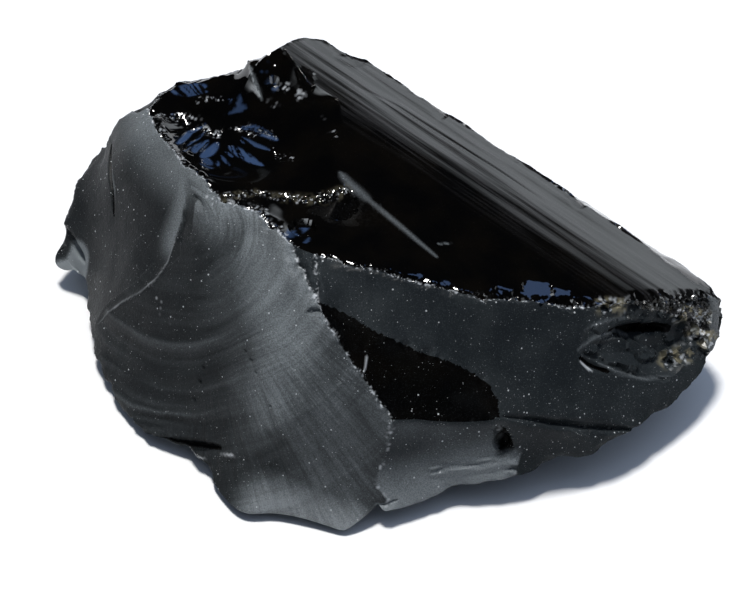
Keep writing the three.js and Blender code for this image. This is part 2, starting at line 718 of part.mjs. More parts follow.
function chunkGeometry() {
  const samples = sampleRidges();
  const positions = [];
  for (const facet of Object.values(facets)) {
    for (const triangle of facetTriangles(facet, samples)) {
      triangle.forEach((point) => positions.push(point.x, point.y, point.z));
    }
  }
  const soup = new THREE.BufferGeometry();
  soup.setAttribute('position', new THREE.Float32BufferAttribute(positions, 3));
  const geometry = mergeVertices(soup, MERGE_DISTANCE);
  geometry.computeBoundingBox();
  const { min, max } = geometry.boundingBox;
  geometry.translate(-(min.x + max.x) / 2, -(min.y + max.y) / 2, -min.z);
  const scale = LENGTH / (max.x - min.x);
  geometry.scale(scale, scale, scale);
  geometry.computeVertexNormals();
  return geometry;
}

function glassMaterial() {
  return new THREE.MeshStandardMaterial({
    color: GLASS_BLACK,
    roughness: GLASS_ROUGHNESS,
    metalness: 0,
    flatShading: true,
  });
}

const chunk = new THREE.Group();
const lump = new THREE.Mesh(chunkGeometry(), glassMaterial());
lump.name = 'obsidian_chunk';
chunk.add(lump);

export default chunk;
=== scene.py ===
"""A chunk of obsidian on a pale floor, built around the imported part.

The part's own skin is copied, cut finer along its facets, and worked in millimetres: ripples,
hackles, flake scars, chipped ridges and a crumbly end. Blender gets it back in metres.
"""

import heapq
import math

import bpy
import numpy as np
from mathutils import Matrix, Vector
from mathutils.kdtree import KDTree


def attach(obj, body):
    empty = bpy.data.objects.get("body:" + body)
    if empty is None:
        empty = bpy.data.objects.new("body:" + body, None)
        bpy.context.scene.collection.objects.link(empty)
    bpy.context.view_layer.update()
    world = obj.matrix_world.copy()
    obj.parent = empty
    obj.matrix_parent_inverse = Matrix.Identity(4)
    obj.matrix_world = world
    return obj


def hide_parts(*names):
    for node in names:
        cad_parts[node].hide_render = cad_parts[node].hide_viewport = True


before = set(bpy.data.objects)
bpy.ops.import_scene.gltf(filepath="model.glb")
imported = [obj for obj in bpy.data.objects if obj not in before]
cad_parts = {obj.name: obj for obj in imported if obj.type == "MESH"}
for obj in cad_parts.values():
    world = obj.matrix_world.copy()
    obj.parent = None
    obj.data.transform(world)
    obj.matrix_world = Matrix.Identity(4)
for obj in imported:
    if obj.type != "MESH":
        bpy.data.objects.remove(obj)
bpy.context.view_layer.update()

NODE = "obsidian_chunk"
BODY = "root"
MM = 0.001
SEED = 11
rng = np.random.default_rng(SEED)


# ---------------------------------------------------------------- noise and other numbers

def hashed(cell, seed):
    """Repeatable numbers from 0 to 1 for whole-number places."""
    h = cell[..., 0] * 374761393 + cell[..., 1] * 668265263 + cell[..., 2] * 2246822519
    h = (h + seed * 974634777) & 0xFFFFFFFF
    h = ((h ^ (h >> 13)) * 1274126177) & 0xFFFFFFFF
    return ((h ^ (h >> 16)) & 0xFFFFFFFF) / 4294967295.0


def noise(points, size, seed):
    """Smooth noise from -1 to 1 whose lumps are about size across."""
    q = points / size
    cell = np.floor(q).astype(np.int64)
    f = q - cell
    f = f * f * (3 - 2 * f)
    total = np.zeros(len(points))
    for dx in (0, 1):
        for dy in (0, 1):
            for dz in (0, 1):
                weight = (
                    (f[:, 0] if dx else 1 - f[:, 0])
                    * (f[:, 1] if dy else 1 - f[:, 1])
                    * (f[:, 2] if dz else 1 - f[:, 2])
                )
                total += weight * hashed(cell + np.array([dx, dy, dz]), seed)
    return total * 2 - 1


def paired(across, onwards):
    """Two measures of the skin as a place on a sheet, for noise that is drawn out one way."""
    return np.stack([across, onwards, 0 * across], 1)


def drawn_noise(across, onwards, seed):
    return noise(paired(across, onwards), 1.0, seed)


def layered(points, size, seed):
    """Three layers of noise, each half the size and half the strength of the last."""
    total = np.zeros(len(points))
    for k in range(3):
        total += noise(points, size / 2**k, seed + k) / 2**k
    return total


def crumbled(points, size, seed):
    """A heap of tilted flat facets: each place takes the tilt of its nearest grain."""
    q = points / size
    base = np.floor(q).astype(np.int64)
    best = np.full(len(points), np.inf)
    height = np.zeros(len(points))
    for dx in (-1, 0, 1):
        for dy in (-1, 0, 1):
            for dz in (-1, 0, 1):
                cell = base + np.array([dx, dy, dz])
                jitter = np.stack([hashed(cell, seed + k) for k in range(3)], 1)
                tilt = np.stack([hashed(cell, seed + 3 + k) for k in range(3)], 1) * 2 - 1
                offset = q - cell - jitter
                distance = np.linalg.norm(offset, axis=1)
                closer = distance < best
                best[closer] = distance[closer]
                height[closer] = (offset * tilt).sum(1)[closer]
    return height * size


def ease(value, low, high):
    """0 at low, 1 at high, smooth between; low may be over high."""
    t = np.clip((value - low) / (high - low), 0, 1)
    return t * t * (3 - 2 * t)


def bump(value, middle, width):
    return np.exp(-(((value - middle) / width) ** 2))


def unit(vectors):
    return vectors / np.maximum(np.linalg.norm(vectors, axis=-1, keepdims=True), 1e-12)


# ---------------------------------------------------------------- the net of triangles

def edges_of(faces, count):
    """The edges once each, and for each face the number of its three edges."""
    pairs = np.sort(faces[:, [0, 1, 1, 2, 2, 0]].reshape(-1, 2), axis=1)
    keys, numbers = np.unique(pairs[:, 0] * count + pairs[:, 1], return_inverse=True)
    return np.stack([keys // count, keys % count], 1), numbers.reshape(-1, 3), keys


def add_up(index, values, count):
    return np.stack([np.bincount(index, values[:, k], count) for k in range(3)], 1)


def face_normals(points, faces):
    a, b, c = (points[faces[:, k]] for k in range(3))
    return np.cross(b - a, c - a)


def vertex_normals(points, faces):
    across = face_normals(points, faces)
    total = sum(add_up(faces[:, k], across, len(points)) for k in range(3))
    return unit(total)


def welded_cad():
    """The CAD node's skin in millimetres, its doubled vertices joined."""
    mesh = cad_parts[NODE].data
    mesh.calc_loop_triangles()
    places = np.empty(len(mesh.vertices) * 3, np.float32)
    mesh.vertices.foreach_get("co", places)
    corners = np.empty(len(mesh.loop_triangles) * 3, np.int32)
    mesh.loop_triangles.foreach_get("vertices", corners)
    points = np.round(places.reshape(-1, 3).astype(float) / MM, 3)
    points, joined = np.unique(points, axis=0, return_inverse=True)
    faces = joined.reshape(-1)[corners].reshape(-1, 3)
    whole = (faces[:, 0] != faces[:, 1]) & (faces[:, 1] != faces[:, 2])
    return points, faces[whole & (faces[:, 2] != faces[:, 0])]


# Places on each facet, in millimetres
FACETS = {
    "lobe": [(-39.3, 5.2, 19.5), (-38.4, -2.1, 16.5), (-43.6, -1.6, 7.6), (-30.4, 0.5, 28.4),
             (-30.7, 3.3, 29.7), (-35.2, -1.2, 21.2), (-32.7, -1.1, 24.6)],
    "scar": [(-19.3, -23.2, 17.5), (-32.3, -9.8, 18.5), (-19.6, -6.1, 32.5), (-15.9, -11, 31.4),
             (-12.8, -15.9, 29.6), (-9.2, -22.4, 25.8), (-5.6, -26.9, 20.9), (-28.7, -7, 25.6),
             (-33.5, -6.7, 19.6), (-40.1, -5.9, 10.4), (-26.4, -2.8, 31), (-24.9, -6, 30.2)],
    "shelf": [(-27.3, 25.8, 28.2), (-31.5, 25.5, 27.2), (-23.5, 24.8, 29.4)],
    "corner": [(-14.7, 23.6, 32.2), (-17.2, 24.2, 32.2), (-16.6, 21.7, 31.2)],
    "bowl": [(-21.9, 14.8, 27.8)],
    "under_lip": [(-12.3, -8.4, 31.8), (-6.4, -11.5, 32), (-0.5, -12.1, 31.2), (3.8, -12, 30.5),
                  (-16.8, -1, 31.4), (-9.4, -1.3, 31.7), (-5, -5.5, 31.4)],
    "main": [(9, 2, 29), (25, -2, 25), (8.3, -10.7, 29.5), (5.3, -7.9, 30.2), (0.9, -2.1, 31.4),
             (-3.5, 0.9, 32.4), (14.1, -13.6, 28)],
    "brow": [(-10.9, -13.2, 31.9), (-10.4, -15.2, 30.7)],
    "hollow": [(-5.6, -22.2, 25.5), (-1.3, -23.5, 22.1), (3.8, -24.8, 19.4), (8.3, -25.8, 17.2),
               (12.6, -26.3, 16.7), (14.8, -27.6, 15.5), (2.4, -28, 17.7)],
    "front": [(-7.8, -17.7, 28.1), (-3.5, -20.2, 25.4), (1.6, -21.6, 23.6), (6.8, -22.4, 22.6),
              (12.6, -24.2, 19.9), (17, -25.8, 17.2), (35.1, -24.7, 9.8), (41.4, -20.4, 9.1),
              (25.9, -15, 24)],
    "scoop": [(35.7, -14.3, 16.6), (34.4, -14.4, 18.4), (37.5, -13.2, 17.2), (40.6, -12, 16),
              (32.1, -17, 18), (38.3, -16.3, 13.6)],
    "crust": [(48.7, -8.8, 13), (46.1, -9.2, 16.2), (47.7, -7.2, 16.7)],
    "low": [(8.2, -31, 9), (2.4, -31.2, 13.4), (14.2, -29.6, 12), (16.4, -30.8, 7.4)],
    "strip": [(25.7, -28.1, 9), (20.6, -28.9, 11), (20.6, -30.4, 6.8), (30.6, -28, 8)],
    "back_west": [(-41.7, 23.3, 12)],
    "back_left": [(-30.8, 28.2, 20)],
    "back_mid": [(-12.8, 30.7, 22)],
    "back_mid_low": [(-13.3, 36.2, 7)],
    "back_right": [(11.7, 25.5, 18), (23.7, 17.7, 15.4)],
    "back_right_low": [(14.2, 29.8, 7.2)],
    "back_east": [(36.7, 10.3, 9)],
    "end_back": [(50.5, -6.8, 11)],
    "under_west": [(-43.5, 3, 1)],
    "under_south_west": [(-31, -20, 0.8)],
    "under_south": [(1, -33.5, 1.5)],
    "under_east": [(27, -20, 3)],
    "under_back": [(28, 9, 2.5)],
    "under_north": [(-9, 31, 1)],
    "under_north_west": [(-34, 26, 1)],
    "base": [(-6, 1, 0)],
}
NAMES = list(FACETS)
RIDGE_COST = 40.0
STEP_COST = 0.01


def sorted_into_facets(points, faces):
    """For each triangle, the facet it is on: paths grow from the named places and shun ridges."""
    middles = points[faces].mean(1)
    normals = unit(face_normals(points, faces))
    _, numbers, _ = edges_of(faces, len(points))
    beside = {}
    for face, three in enumerate(numbers):
        for edge in three:
            beside.setdefault(edge, []).append(face)
    near = [[] for _ in faces]
    for pair in beside.values():
        if len(pair) == 2:
            a, b = pair
            bend = 1 - float(normals[a] @ normals[b])
            cost = RIDGE_COST * bend + STEP_COST * float(np.linalg.norm(middles[a] - middles[b]))
            near[a].append((b, cost))
            near[b].append((a, cost))
    label = np.full(len(faces), -1)
    reached = np.full(len(faces), np.inf)
    queue = []
    for number, name in enumerate(NAMES):
        for place in FACETS[name]:
            face = int(np.linalg.norm(middles - np.array(place), axis=1).argmin())
            reached[face] = 0
            label[face] = number
            queue.append((0.0, face))
    heapq.heapify(queue)
    while queue:
        cost, face = heapq.heappop(queue)
        if cost > reached[face]:
            continue
        for other, step in near[face]:
            if cost + step < reached[other]:
                reached[other] = cost + step
                label[other] = label[face]
                heapq.heappush(queue, (cost + step, other))
    return label


def ridge_keys(points, faces, label, least_bend):
    """The edges between two facets that meet at an angle."""
    _, numbers, keys = edges_of(faces, len(points))
    normals = unit(face_normals(points, faces))
    order = np.argsort(numbers.reshape(-1), kind="stable")
    first, second = (order[0::2] // 3, order[1::2] // 3)
    bend = (normals[first] * normals[second]).sum(1) < math.cos(math.radians(least_bend))
    return keys[bend & (label[first] != label[second])]


def in_four(v, m):
    """The four small triangles of each one: v holds its corners, m the middles of its edges."""
    return [np.stack([v[:, 0], m[:, 0], m[:, 2]], 1), np.stack([m[:, 0], v[:, 1], m[:, 1]], 1),
            np.stack([m[:, 2], m[:, 1], v[:, 2]], 1), m]


def halved_keys(edges, middles, total):
    """The keys of the two halves of each edge."""
    return np.concatenate([edges[:, 0] * total + middles, edges[:, 1] * total + middles])


def finer(points, faces, label, ridges):
    """One round of Loop subdivision, with its usual weights, that keeps the ridges sharp."""
    count = len(points)
    edges, numbers, keys = edges_of(faces, count)
    sharp = np.isin(keys, ridges)
    a, b = points[edges[:, 0]], points[edges[:, 1]]
    opposite = sum(
        add_up(numbers[:, k], points[faces[:, (k + 2) % 3]], len(edges)) for k in range(3)
    )
    halves = np.where(sharp[:, None], (a + b) / 2, 0.375 * (a + b) + 0.125 * opposite)
    valence = np.bincount(edges.reshape(-1), minlength=count).astype(float)
    around = add_up(edges[:, 0], b, count) + add_up(edges[:, 1], a, count)
    beta = (0.625 - (0.375 + 0.25 * np.cos(2 * np.pi / valence)) ** 2) / valence
    moved = (1 - valence * beta)[:, None] * points + beta[:, None] * around
    on_ridge = edges[sharp]
    ends = np.bincount(on_ridge.reshape(-1), minlength=count)
    along = add_up(on_ridge[:, 0], points[on_ridge[:, 1]], count)
    along += add_up(on_ridge[:, 1], points[on_ridge[:, 0]], count)
    moved[ends == 2] = (0.75 * points + 0.125 * along)[ends == 2]
    moved[ends > 2] = points[ends > 2]
    children = np.concatenate(in_four(faces, numbers + count))
    new_ridges = halved_keys(on_ridge, np.flatnonzero(sharp) + count, count + len(edges))
    return np.concatenate([moved, halves]), children, np.tile(label, 4), new_ridges


def finer_where(points, faces, label, ridges, wanted):
    """Halves every edge whose two ends are wanted, and fits its neighbours to that."""
    count = len(points)
    edges, numbers, keys = edges_of(faces, count)
    split = wanted[edges[:, 0]] & wanted[edges[:, 1]]
    place = np.full(len(edges), -1)
    place[split] = count + np.arange(split.sum())
    added = points[edges[split]].mean(1)
    cut = split[numbers]
    cuts = cut.sum(1)
    whole, one, three = cuts == 0, cuts == 1, cuts == 3
    parts = [faces[whole]] + in_four(faces[three], place[numbers[three]])
    labels = [label[whole]] + [label[three]] * 4
    where = cut[one].argmax(1)
    rows = np.arange(len(where))
    v = np.stack([faces[one][rows, (where + k) % 3] for k in range(3)], 1)
    mid = place[numbers[one][rows, where]]
    parts += [np.stack([v[:, 0], mid, v[:, 2]], 1), np.stack([mid, v[:, 1], v[:, 2]], 1)]
    labels += [label[one]] * 2
    sharp = np.isin(keys, ridges)
    total = count + len(added)
    kept = edges[sharp & ~split]
    halved = sharp & split
    new_ridges = np.concatenate([
        kept[:, 0] * total + kept[:, 1], halved_keys(edges[halved], place[halved], total),
    ])
    return np.concatenate([points, added]), np.concatenate(parts), np.concatenate(labels), new_ridges


# ---------------------------------------------------------------- the working copy

def tree_of(points, chosen):
    """A search tree of the chosen vertices."""
    rim = np.flatnonzero(chosen)
    tree = KDTree(len(rim))
    for index in rim:
        tree.insert(points[index], int(index))
    tree.balance()
    return tree


class Skin:
    """The chunk's skin while it is worked: vertices, facets, and the tools that move them."""

    def __init__(self, points, faces, label):
        self.points, self.faces, self.label = points, faces, label
        self.rest = points.copy()
        count = len(points)
        self.member = np.zeros((len(NAMES), count), bool)
        for k in range(3):
            self.member[label, faces[:, k]] = True
        self.shared = self.member.sum(0) > 1
        self.normals = vertex_normals(points, faces)
        self.depth = {}
        for name in NAMES:
            self.depth[name] = self.border_distance(name)

    def on(self, *names):
        return self.member[[NAMES.index(name) for name in names]].any(0)

    def border_distance(self, name):
        """Millimetres from each vertex of a facet to the facet's ridges, 0 off the facet."""
        mine = self.on(name)
        tree = tree_of(self.points, mine & self.shared)
        distance = np.zeros(len(self.points))
        for index in np.flatnonzero(mine & ~self.shared):
            distance[index] = tree.find(self.points[index])[2]
        return distance

    def refresh(self):
        self.normals = vertex_normals(self.points, self.faces)

    def lift(self, height, *only):
        """Moves vertices out along their normals by so many millimetres, maybe on some facets only."""
        if only:
            height = np.where(self.on(*only), height, 0)
        self.points += self.normals * height[:, None]

    def track(self, path, reach=6.0):
        """Distance to a path, place along it from 0 to 1, and the side, left being positive."""
        path = np.array(path, float)
        spans = np.linalg.norm(np.diff(path, axis=0), axis=1)
        starts = np.concatenate([[0], np.cumsum(spans)])
        low, high = path.min(0) - reach, path.max(0) + reach
        near = np.flatnonzero(((self.rest > low) & (self.rest < high)).all(1))
        points, normals = self.rest[near], self.normals[near]
        best = np.full(len(near), np.inf)
        place, side = np.zeros(len(near)), np.zeros(len(near))
        for a, b, start, span in zip(path[:-1], path[1:], starts, spans):
            run = (b - a) / span
            t = np.clip((points - a) @ run, 0, span)
            offset = points - a - t[:, None] * run
            distance = np.linalg.norm(offset, axis=1)
            closer = distance < best
            best[closer] = distance[closer]
            place[closer] = ((start + t) / starts[-1])[closer]
            left = np.cross(normals, run)
            side[closer] = (offset * left).sum(1)[closer]
        distance = np.full(len(self.points), np.inf)
        all_places, all_sides = np.zeros(len(self.points)), np.zeros(len(self.points))
        distance[near], all_places[near], all_sides[near] = best, place, side
        return distance, all_places, all_sides

    def groove(self, path, width, depth, *only):
        """A cut, or with a negative depth a welt, drawn out to a point at both ends."""
        distance, place, _ = self.track(path)
        swell = np.sqrt(np.clip(4 * place * (1 - place), 0.02, 1))
        self.lift(-depth * swell * np.exp(-((distance / (width * swell)) ** 2)), *only)

    def terrace(self, path, reach, height, edge, *only):
        """A step: the skin to the left of the path rises or sinks, and eases back."""
        distance, place, side = self.track(path, reach * 3 + 2)
        fade = ease(place, 0, 0.12) * ease(place, 1, 0.88)
        shape = ease(side, 0, edge) * np.exp(-np.maximum(side, 0) / reach)
        shape *= (distance < reach * 3) * fade
        self.lift(height * np.nan_to_num(shape), *only)

    def scoop_out(self, centre, radius, depth):
        """A round flake scar, the hollow that a ball leaves when it bites so deep."""
        index = int(np.linalg.norm(self.points - np.array(centre, float), axis=1).argmin())
        ball = self.points[index] + self.normals[index] * (radius - depth)
        offset = self.points - ball
        inside = np.linalg.norm(offset, axis=1) < radius
        self.points[inside] = ball + unit(offset[inside]) * radius

    def slice_off(self, centre, outward, depth, reach):
        """A flat facet: what stands over the plane, near the centre, is cut away."""
        outward = unit(np.array(outward, float))
        offset = self.points - np.array(centre, float)
        over = offset @ outward + depth
        inside = (over > 0) & (np.linalg.norm(offset, axis=1) < reach)
        self.points[inside] -= outward * over[inside][:, None]


UNDER = ("under_west", "under_south_west", "under_south", "under_east", "under_back",
         "under_north", "under_north_west")
BACK = ("back_west", "back_left", "back_mid", "back_mid_low", "back_right", "back_right_low",
        "back_east", "end_back")
# Ridges, each as a facet and the facets beyond it
RIDGES = {
    "crest": ("scar", ("bowl", "under_lip", "brow", "hollow", "front")),
    "lobe_crest": ("lobe", ("bowl", "under_lip", "shelf")),
    "front_ridge": ("front", ("main", "under_lip", "brow")),
    "bowl_rim": ("bowl", ("main", "corner", "shelf")),
    "hollow_rim": ("hollow", ("front", "low", "scar", "brow")),
    "crust_rim": ("crust", ("main", "front", "scoop")),
    "low_rim": ("scar", UNDER),
    "front_rim": ("front", UNDER),
    "strip_rim": ("strip", UNDER + ("front",)),
    "low_lip": ("low", UNDER),
    "low_west": ("scar", ("low",)),
    "low_upper": ("low", ("strip", "front", "hollow")),
    "west_rim": ("lobe", UNDER + BACK),
    "far_edge": ("main", BACK),
    "crown": ("shelf", BACK),
}
# Ridges and facets where the skin is cut finer, and how far beside a ridge
FINE_RIDGES = ("crest", "lobe_crest", "front_ridge", "bowl_rim", "hollow_rim")
FINE_FACETS = ("bowl", "crust", "shelf")
FINE_REACH = 1.0
LEAST_BEND = 9.0

# The rough lip that crosses the top below the bowl
LIP_PATH = [(-23.9, -1.3, 33.4), (-19.8, 0.9, 31.8), (-15.4, 0.5, 31.2), (-10.9, -0.4, 31.7),
            (-7.2, -0.2, 32.5), (-5.7, 0.4, 32.9)]
# The rim of the black hollow in the front
HOLLOW_OUTLINE = [(-9.6, -17.7, 28.8), (-7.8, -17.8, 27.9), (-4.9, -18.7, 26.8), (-1.7, -20.2, 25.4),
                  (5.3, -22.4, 23.0), (9.7, -23.1, 21.6), (13.3, -24.0, 19.9), (15.6, -25.1, 18.4),
                  (16.7, -26.4, 16.8), (17.0, -28.2, 15.0), (12.6, -29.4, 14.1), (8.2, -29.9, 14.5),
                  (1.2, -31.0, 16.2), (-6.0, -26.7, 21.0)]

CRACK = [(-42.1, 19.5, 22.2), (-42, 15.7, 21.7), (-41.6, 11.7, 20.4), (-41.2, 8.5, 18.2)]
HAIRLINE = [(-31.1, -3, 25.4), (-32.2, -4.7, 22.6), (-34.3, -5.6, 19.4), (-36.7, -5.5, 16.5),
            (-39.8, -4.3, 12.7), (-42.2, -3.5, 9), (-44.1, -2.9, 5.6)]
SLIT = [(-33.4, -22.6, 2.1), (-29.1, -24.2, 3.2), (-24.4, -26.5, 5.5)]
PALE_STREAK = [(-6.4, 3.6, 33), (-5, 1.8, 32.8), (-2, -0.9, 32.2), (2.4, -4.8, 30.9), (7.8, -9.8, 29.6)]
SCOOP_SLIT = [(33.6, -14.6, 18.2), (36, -13.6, 17.2), (38.3, -12.9, 16.5), (42.6, -11.6, 15.2)]
SCOOP_WEDGE = [(29.1, -19.6, 18.1), (30.5, -19.9, 17.1), (33.2, -19.9, 15.4)]
# Paths beside which the skin is cut finer, and how wide
FINE_PATHS = ((CRACK, 0.9), (HAIRLINE, 0.6), (SLIT, 1.0), (PALE_STREAK, 0.9), (SCOOP_SLIT, 1.1),
              (SCOOP_WEDGE, 1.0), (LIP_PATH, 2.0))

# A flat chart of the chunk as it looks from in front and 50 degrees up: x across, and this upwards
CHART_RISE = np.array([0.0, 0.766, 0.643])


def chart(places):
    places = np.atleast_2d(places)
    return np.stack([places[:, 0], places @ CHART_RISE], 1)


def within(places, outline):
    """Which places lie inside an outline, on the chart."""
    flat, ring_of = chart(places), chart(np.array(outline, float))
    inside = np.zeros(len(flat), bool)
    for a, b in zip(ring_of, np.roll(ring_of, -1, axis=0)):
        spans = (a[1] > flat[:, 1]) != (b[1] > flat[:, 1])
        rise = b[1] - a[1] if b[1] != a[1] else 1e-9
        meets = a[0] + (flat[:, 1] - a[1]) / rise * (b[0] - a[0])
        inside ^= spans & (flat[:, 0] < meets)
    return inside


def shared_by(label, faces, count, ridge):
    """Which vertices lie on a ridge."""
    one, others = ridge
    mine, theirs = np.zeros(count, bool), np.zeros(count, bool)
    mine[faces[label == NAMES.index(one)].reshape(-1)] = True
    for other in others:
        theirs[faces[label == NAMES.index(other)].reshape(-1)] = True
    return mine & theirs


def distance_to(points, chosen):
    """Millimetres from each vertex to the nearest chosen one."""
    tree = tree_of(points, chosen)
    return np.array([tree.find(point)[2] for point in points])


def distance_to_path(points, path):
    path = np.array(path, float)
    best = np.full(len(points), np.inf)
    for a, b in zip(path[:-1], path[1:]):
        t = np.clip((points - a) @ (b - a) / ((b - a) @ (b - a)), 0, 1)
        best = np.minimum(best, np.linalg.norm(points - a - t[:, None] * (b - a), axis=1))
    return best


def build_skin():
    points, faces = welded_cad()
    label = sorted_into_facets(points, faces)
    ridges = ridge_keys(points, faces, label, LEAST_BEND)
    for _ in range(2):
        points, faces, label, ridges = finer(points, faces, label, ridges)
    # The hollow's rim isn't a ridge all the way, so its outline settles which side a face is on
    hollow, front = NAMES.index("hollow"), NAMES.index("front")
    inside = within(points[faces].mean(1), HOLLOW_OUTLINE)
    label = np.where(inside & (label == front), hollow, label)
    label = np.where(~inside & (label == hollow), front, label)
    count = len(points)
    on_fine = np.zeros(count, bool)
    for name in FINE_RIDGES:
        on_fine |= shared_by(label, faces, count, RIDGES[name])
    wanted = distance_to(points, on_fine) < FINE_REACH
    for path, beside in FINE_PATHS:
        wanted |= distance_to_path(points, path) < beside
    for name in FINE_FACETS:
        wanted[faces[label == NAMES.index(name)].reshape(-1)] = True
    points, faces, label, ridges = finer_where(points, faces, label, ridges, wanted)
    return Skin(points, faces, label)


skin = build_skin()
points, rest = skin.points, skin.rest
count = len(points)
from_ridge = {
    name: distance_to(rest, shared_by(skin.label, skin.faces, count, ridge))
    for name, ridge in RIDGES.items()
}

# What each vertex is painted with, 0 being none: pale crumbs and painted glints, frosting with painted
# sheen, a painted sky reflection, earthy soil
pale, frost_and_sheen, blue, earthy = (np.zeros(count) for _ in range(4))


def polar(centre):
    """Distance from a place and turn about it in degrees, on the chart."""
    flat = chart(rest) - chart(np.array(centre, float))
    return np.hypot(flat[:, 0], flat[:, 1]), np.degrees(np.arctan2(flat[:, 1], flat[:, 0]))


def chip(ridge, amount, reaches, depths, lean=0.3):
    """Shallow flake scars, strewn along a ridge; none goes deeper than its own depth."""
    near = np.flatnonzero(from_ridge[ridge] < reaches[1])
    spots = np.flatnonzero(from_ridge[ridge] == 0)
    for spot in rng.choice(spots, amount):
        outward = unit(skin.normals[spot] + lean * rng.normal(size=3))
        reach, depth = rng.uniform(*reaches), rng.uniform(*depths)
        offset = points[near] - points[spot]
        sunk = depth * (1 - (np.linalg.norm(offset, axis=1) / reach) ** 2)
        over = np.where(sunk > 0, np.clip(offset @ outward + sunk, 0, sunk), 0)
        points[near] -= outward * over[:, None]


def crumble(distance, reach, grain, depth, seed, where=None):
    """Breaks the skin into tilted grains, most of all where the distance is 0."""
    fade = ease(distance, reach, 0)
    height = depth * (crumbled(rest, grain, seed) / grain - 0.35) * fade
    skin.lift(height if where is None else height * where)


def speckle(size, seed, low=0.25, high=0.7):
    return ease(noise(rest, size, seed) + 0.6 * noise(rest, size / 2.2, seed + 1), low, high)


def sparkle(path, reach, seed, strength=1.0, depth=0.08, share=0.25):
    """Crumbs along a path, or along a ridge given by its name, speckled pale: partly pale crushed glass,
    partly painted sun glints.
    """
    distance = distance_to_path(rest, path) if not isinstance(path, str) else from_ridge[path]
    crumble(distance, reach, 0.34, depth, seed)
    fade = ease(distance, reach, reach * 0.2)
    glint = strength * fade * speckle(0.32, seed + 7, share, share + 0.35)
    np.maximum(pale, glint, out=pale)


def stroke(layer, path, width, strength=1.0, soft=0.5, taper=True, only=None, half=0):
    """Paints a streak on a layer: drawn out to points or not, whole or only its left or right half."""
    distance, place, side = skin.track(path, 3 * width + 1)
    wide = width * (np.sqrt(np.clip(4 * place * (1 - place), 0, 1)) if taper else 1.0)
    mark = strength * ease(distance, wide + soft * width, np.maximum(wide - soft * width, 0))
    if half:
        mark *= ease(side * half, -0.1, 0.25)
    if only:
        mark *= skin.on(*only)
    np.maximum(layer, np.where(np.isfinite(distance), mark, 0), out=layer)


def marked(path, width, depth, layer, wide, strength):
    """A groove or a welt with a streak painted along it."""
    skin.groove(path, width, depth)
    stroke(layer, path, wide, strength)


# ---------------------------------------------------------------- the big scar on the left

STRIKE = (-29.6, -2.4, 27.8)
ring, turned = polar(STRIKE)
on_scar = skin.on("scar")
on_lobe = skin.on("lobe")
scar_depth = skin.depth["scar"]


def crease(value, at, inner, outer):
    """A sharp-topped wave."""
    side = np.where(value < at, inner, outer)
    return np.exp(-np.abs(value - at) / side)


wavy_ring = ring + 0.9 * noise(rest, 11, 3) + 0.25 * noise(rest, 3.5, 4)


def ripples():
    """Waves round the strike, as the break ran out from it."""
    r = wavy_ring
    height = 0.42 * crease(r, 17.6, 0.6, 1.5) - 0.3 * bump(r, 19.8, 1.1)
    height += 0.14 * crease(r, 21.8, 0.35, 1.0) + 0.16 * crease(r, 24.4, 0.35, 1.1)
    height += 0.45 * crease(r, 28.1, 0.4, 1.1) * ease(turned, -70, -95)
    height -= 0.36 * bump(r, 29.6, 0.8) * ease(turned, -60, -90)
    height += 0.2 * crease(r, 32.4, 0.4, 1.2) + 0.16 * crease(r, 35.2, 0.4, 1.2)
    fine = sum(crease(r, at, 0.18, 0.5) for at in (10.7, 11.6, 12.3, 13.2, 14.4))
    height += 0.11 * fine * ease(turned, -62, -40)
    outer = sum(crease(r, at, 0.22, 0.6) for at in (25.4, 26.4, 27.3, 28.4, 29.6, 31.1))
    height += 0.13 * outer * ease(turned, -78, -52)
    height *= 0.6 + 0.4 * drawn_noise(turned * 0.05, r * 0.25, 6)
    skin.lift(height * ease(scar_depth, 0.1, 1.6), "scar")


def hackles():
    """Fine feathers that run outwards, where the break was about to stop."""
    feathers = drawn_noise(turned * 0.9, ring * 0.16, 8)
    feathers += 0.7 * drawn_noise(turned * 2.3, ring * 0.22, 9)
    zone = ease(ring, 22, 32) * ease(turned, -125, -95)
    zone += 0.5 * ease(ring, 4, 8) * ease(ring, 22, 12) * ease(turned, -95, -60)
    zone += 0.25 * ease(ring, 12, 20)
    skin.lift(0.075 * feathers * zone * ease(scar_depth, 0.1, 1.2), "scar")


ripples()
hackles()
for at in ("scar", "lobe"):
    skin.lift(0.14 * layered(rest, 7, 21) * ease(skin.depth[at], 0, 3))
BACK_STRIKES = ((-24, 30, 27), (16, 24, 22), (-44, 20, 14), (34, 13, 15))
from_strike = np.min([np.linalg.norm(rest - np.array(at), axis=1) for at in BACK_STRIKES], axis=0)
from_strike += 0.9 * noise(rest, 7, 33)
waves = sum(crease(from_strike, at, 0.5, 1.3) for at in (5, 8.2, 11, 14.6, 17.5, 21.5, 26))
waves *= 0.6 + 0.5 * noise(rest, 9, 34)
skin.lift(0.2 * layered(rest, 6, 31) + 0.26 * waves, *BACK)
skin.refresh()
skin.groove(SLIT, 0.5, 1.0, "scar")
# painted highlights along two small welts on the lower rim
RIM_LIGHTS = ([(-30.3, -24.8, 1.6), (-28.4, -25.8, 2.2), (-26.6, -26.8, 2.9)],
              [(-24.3, -27.3, 4.9), (-21.9, -28.6, 6.1)])
for path in RIM_LIGHTS:
    marked(path, 0.3, -0.3, pale, 0.22, 0.8)
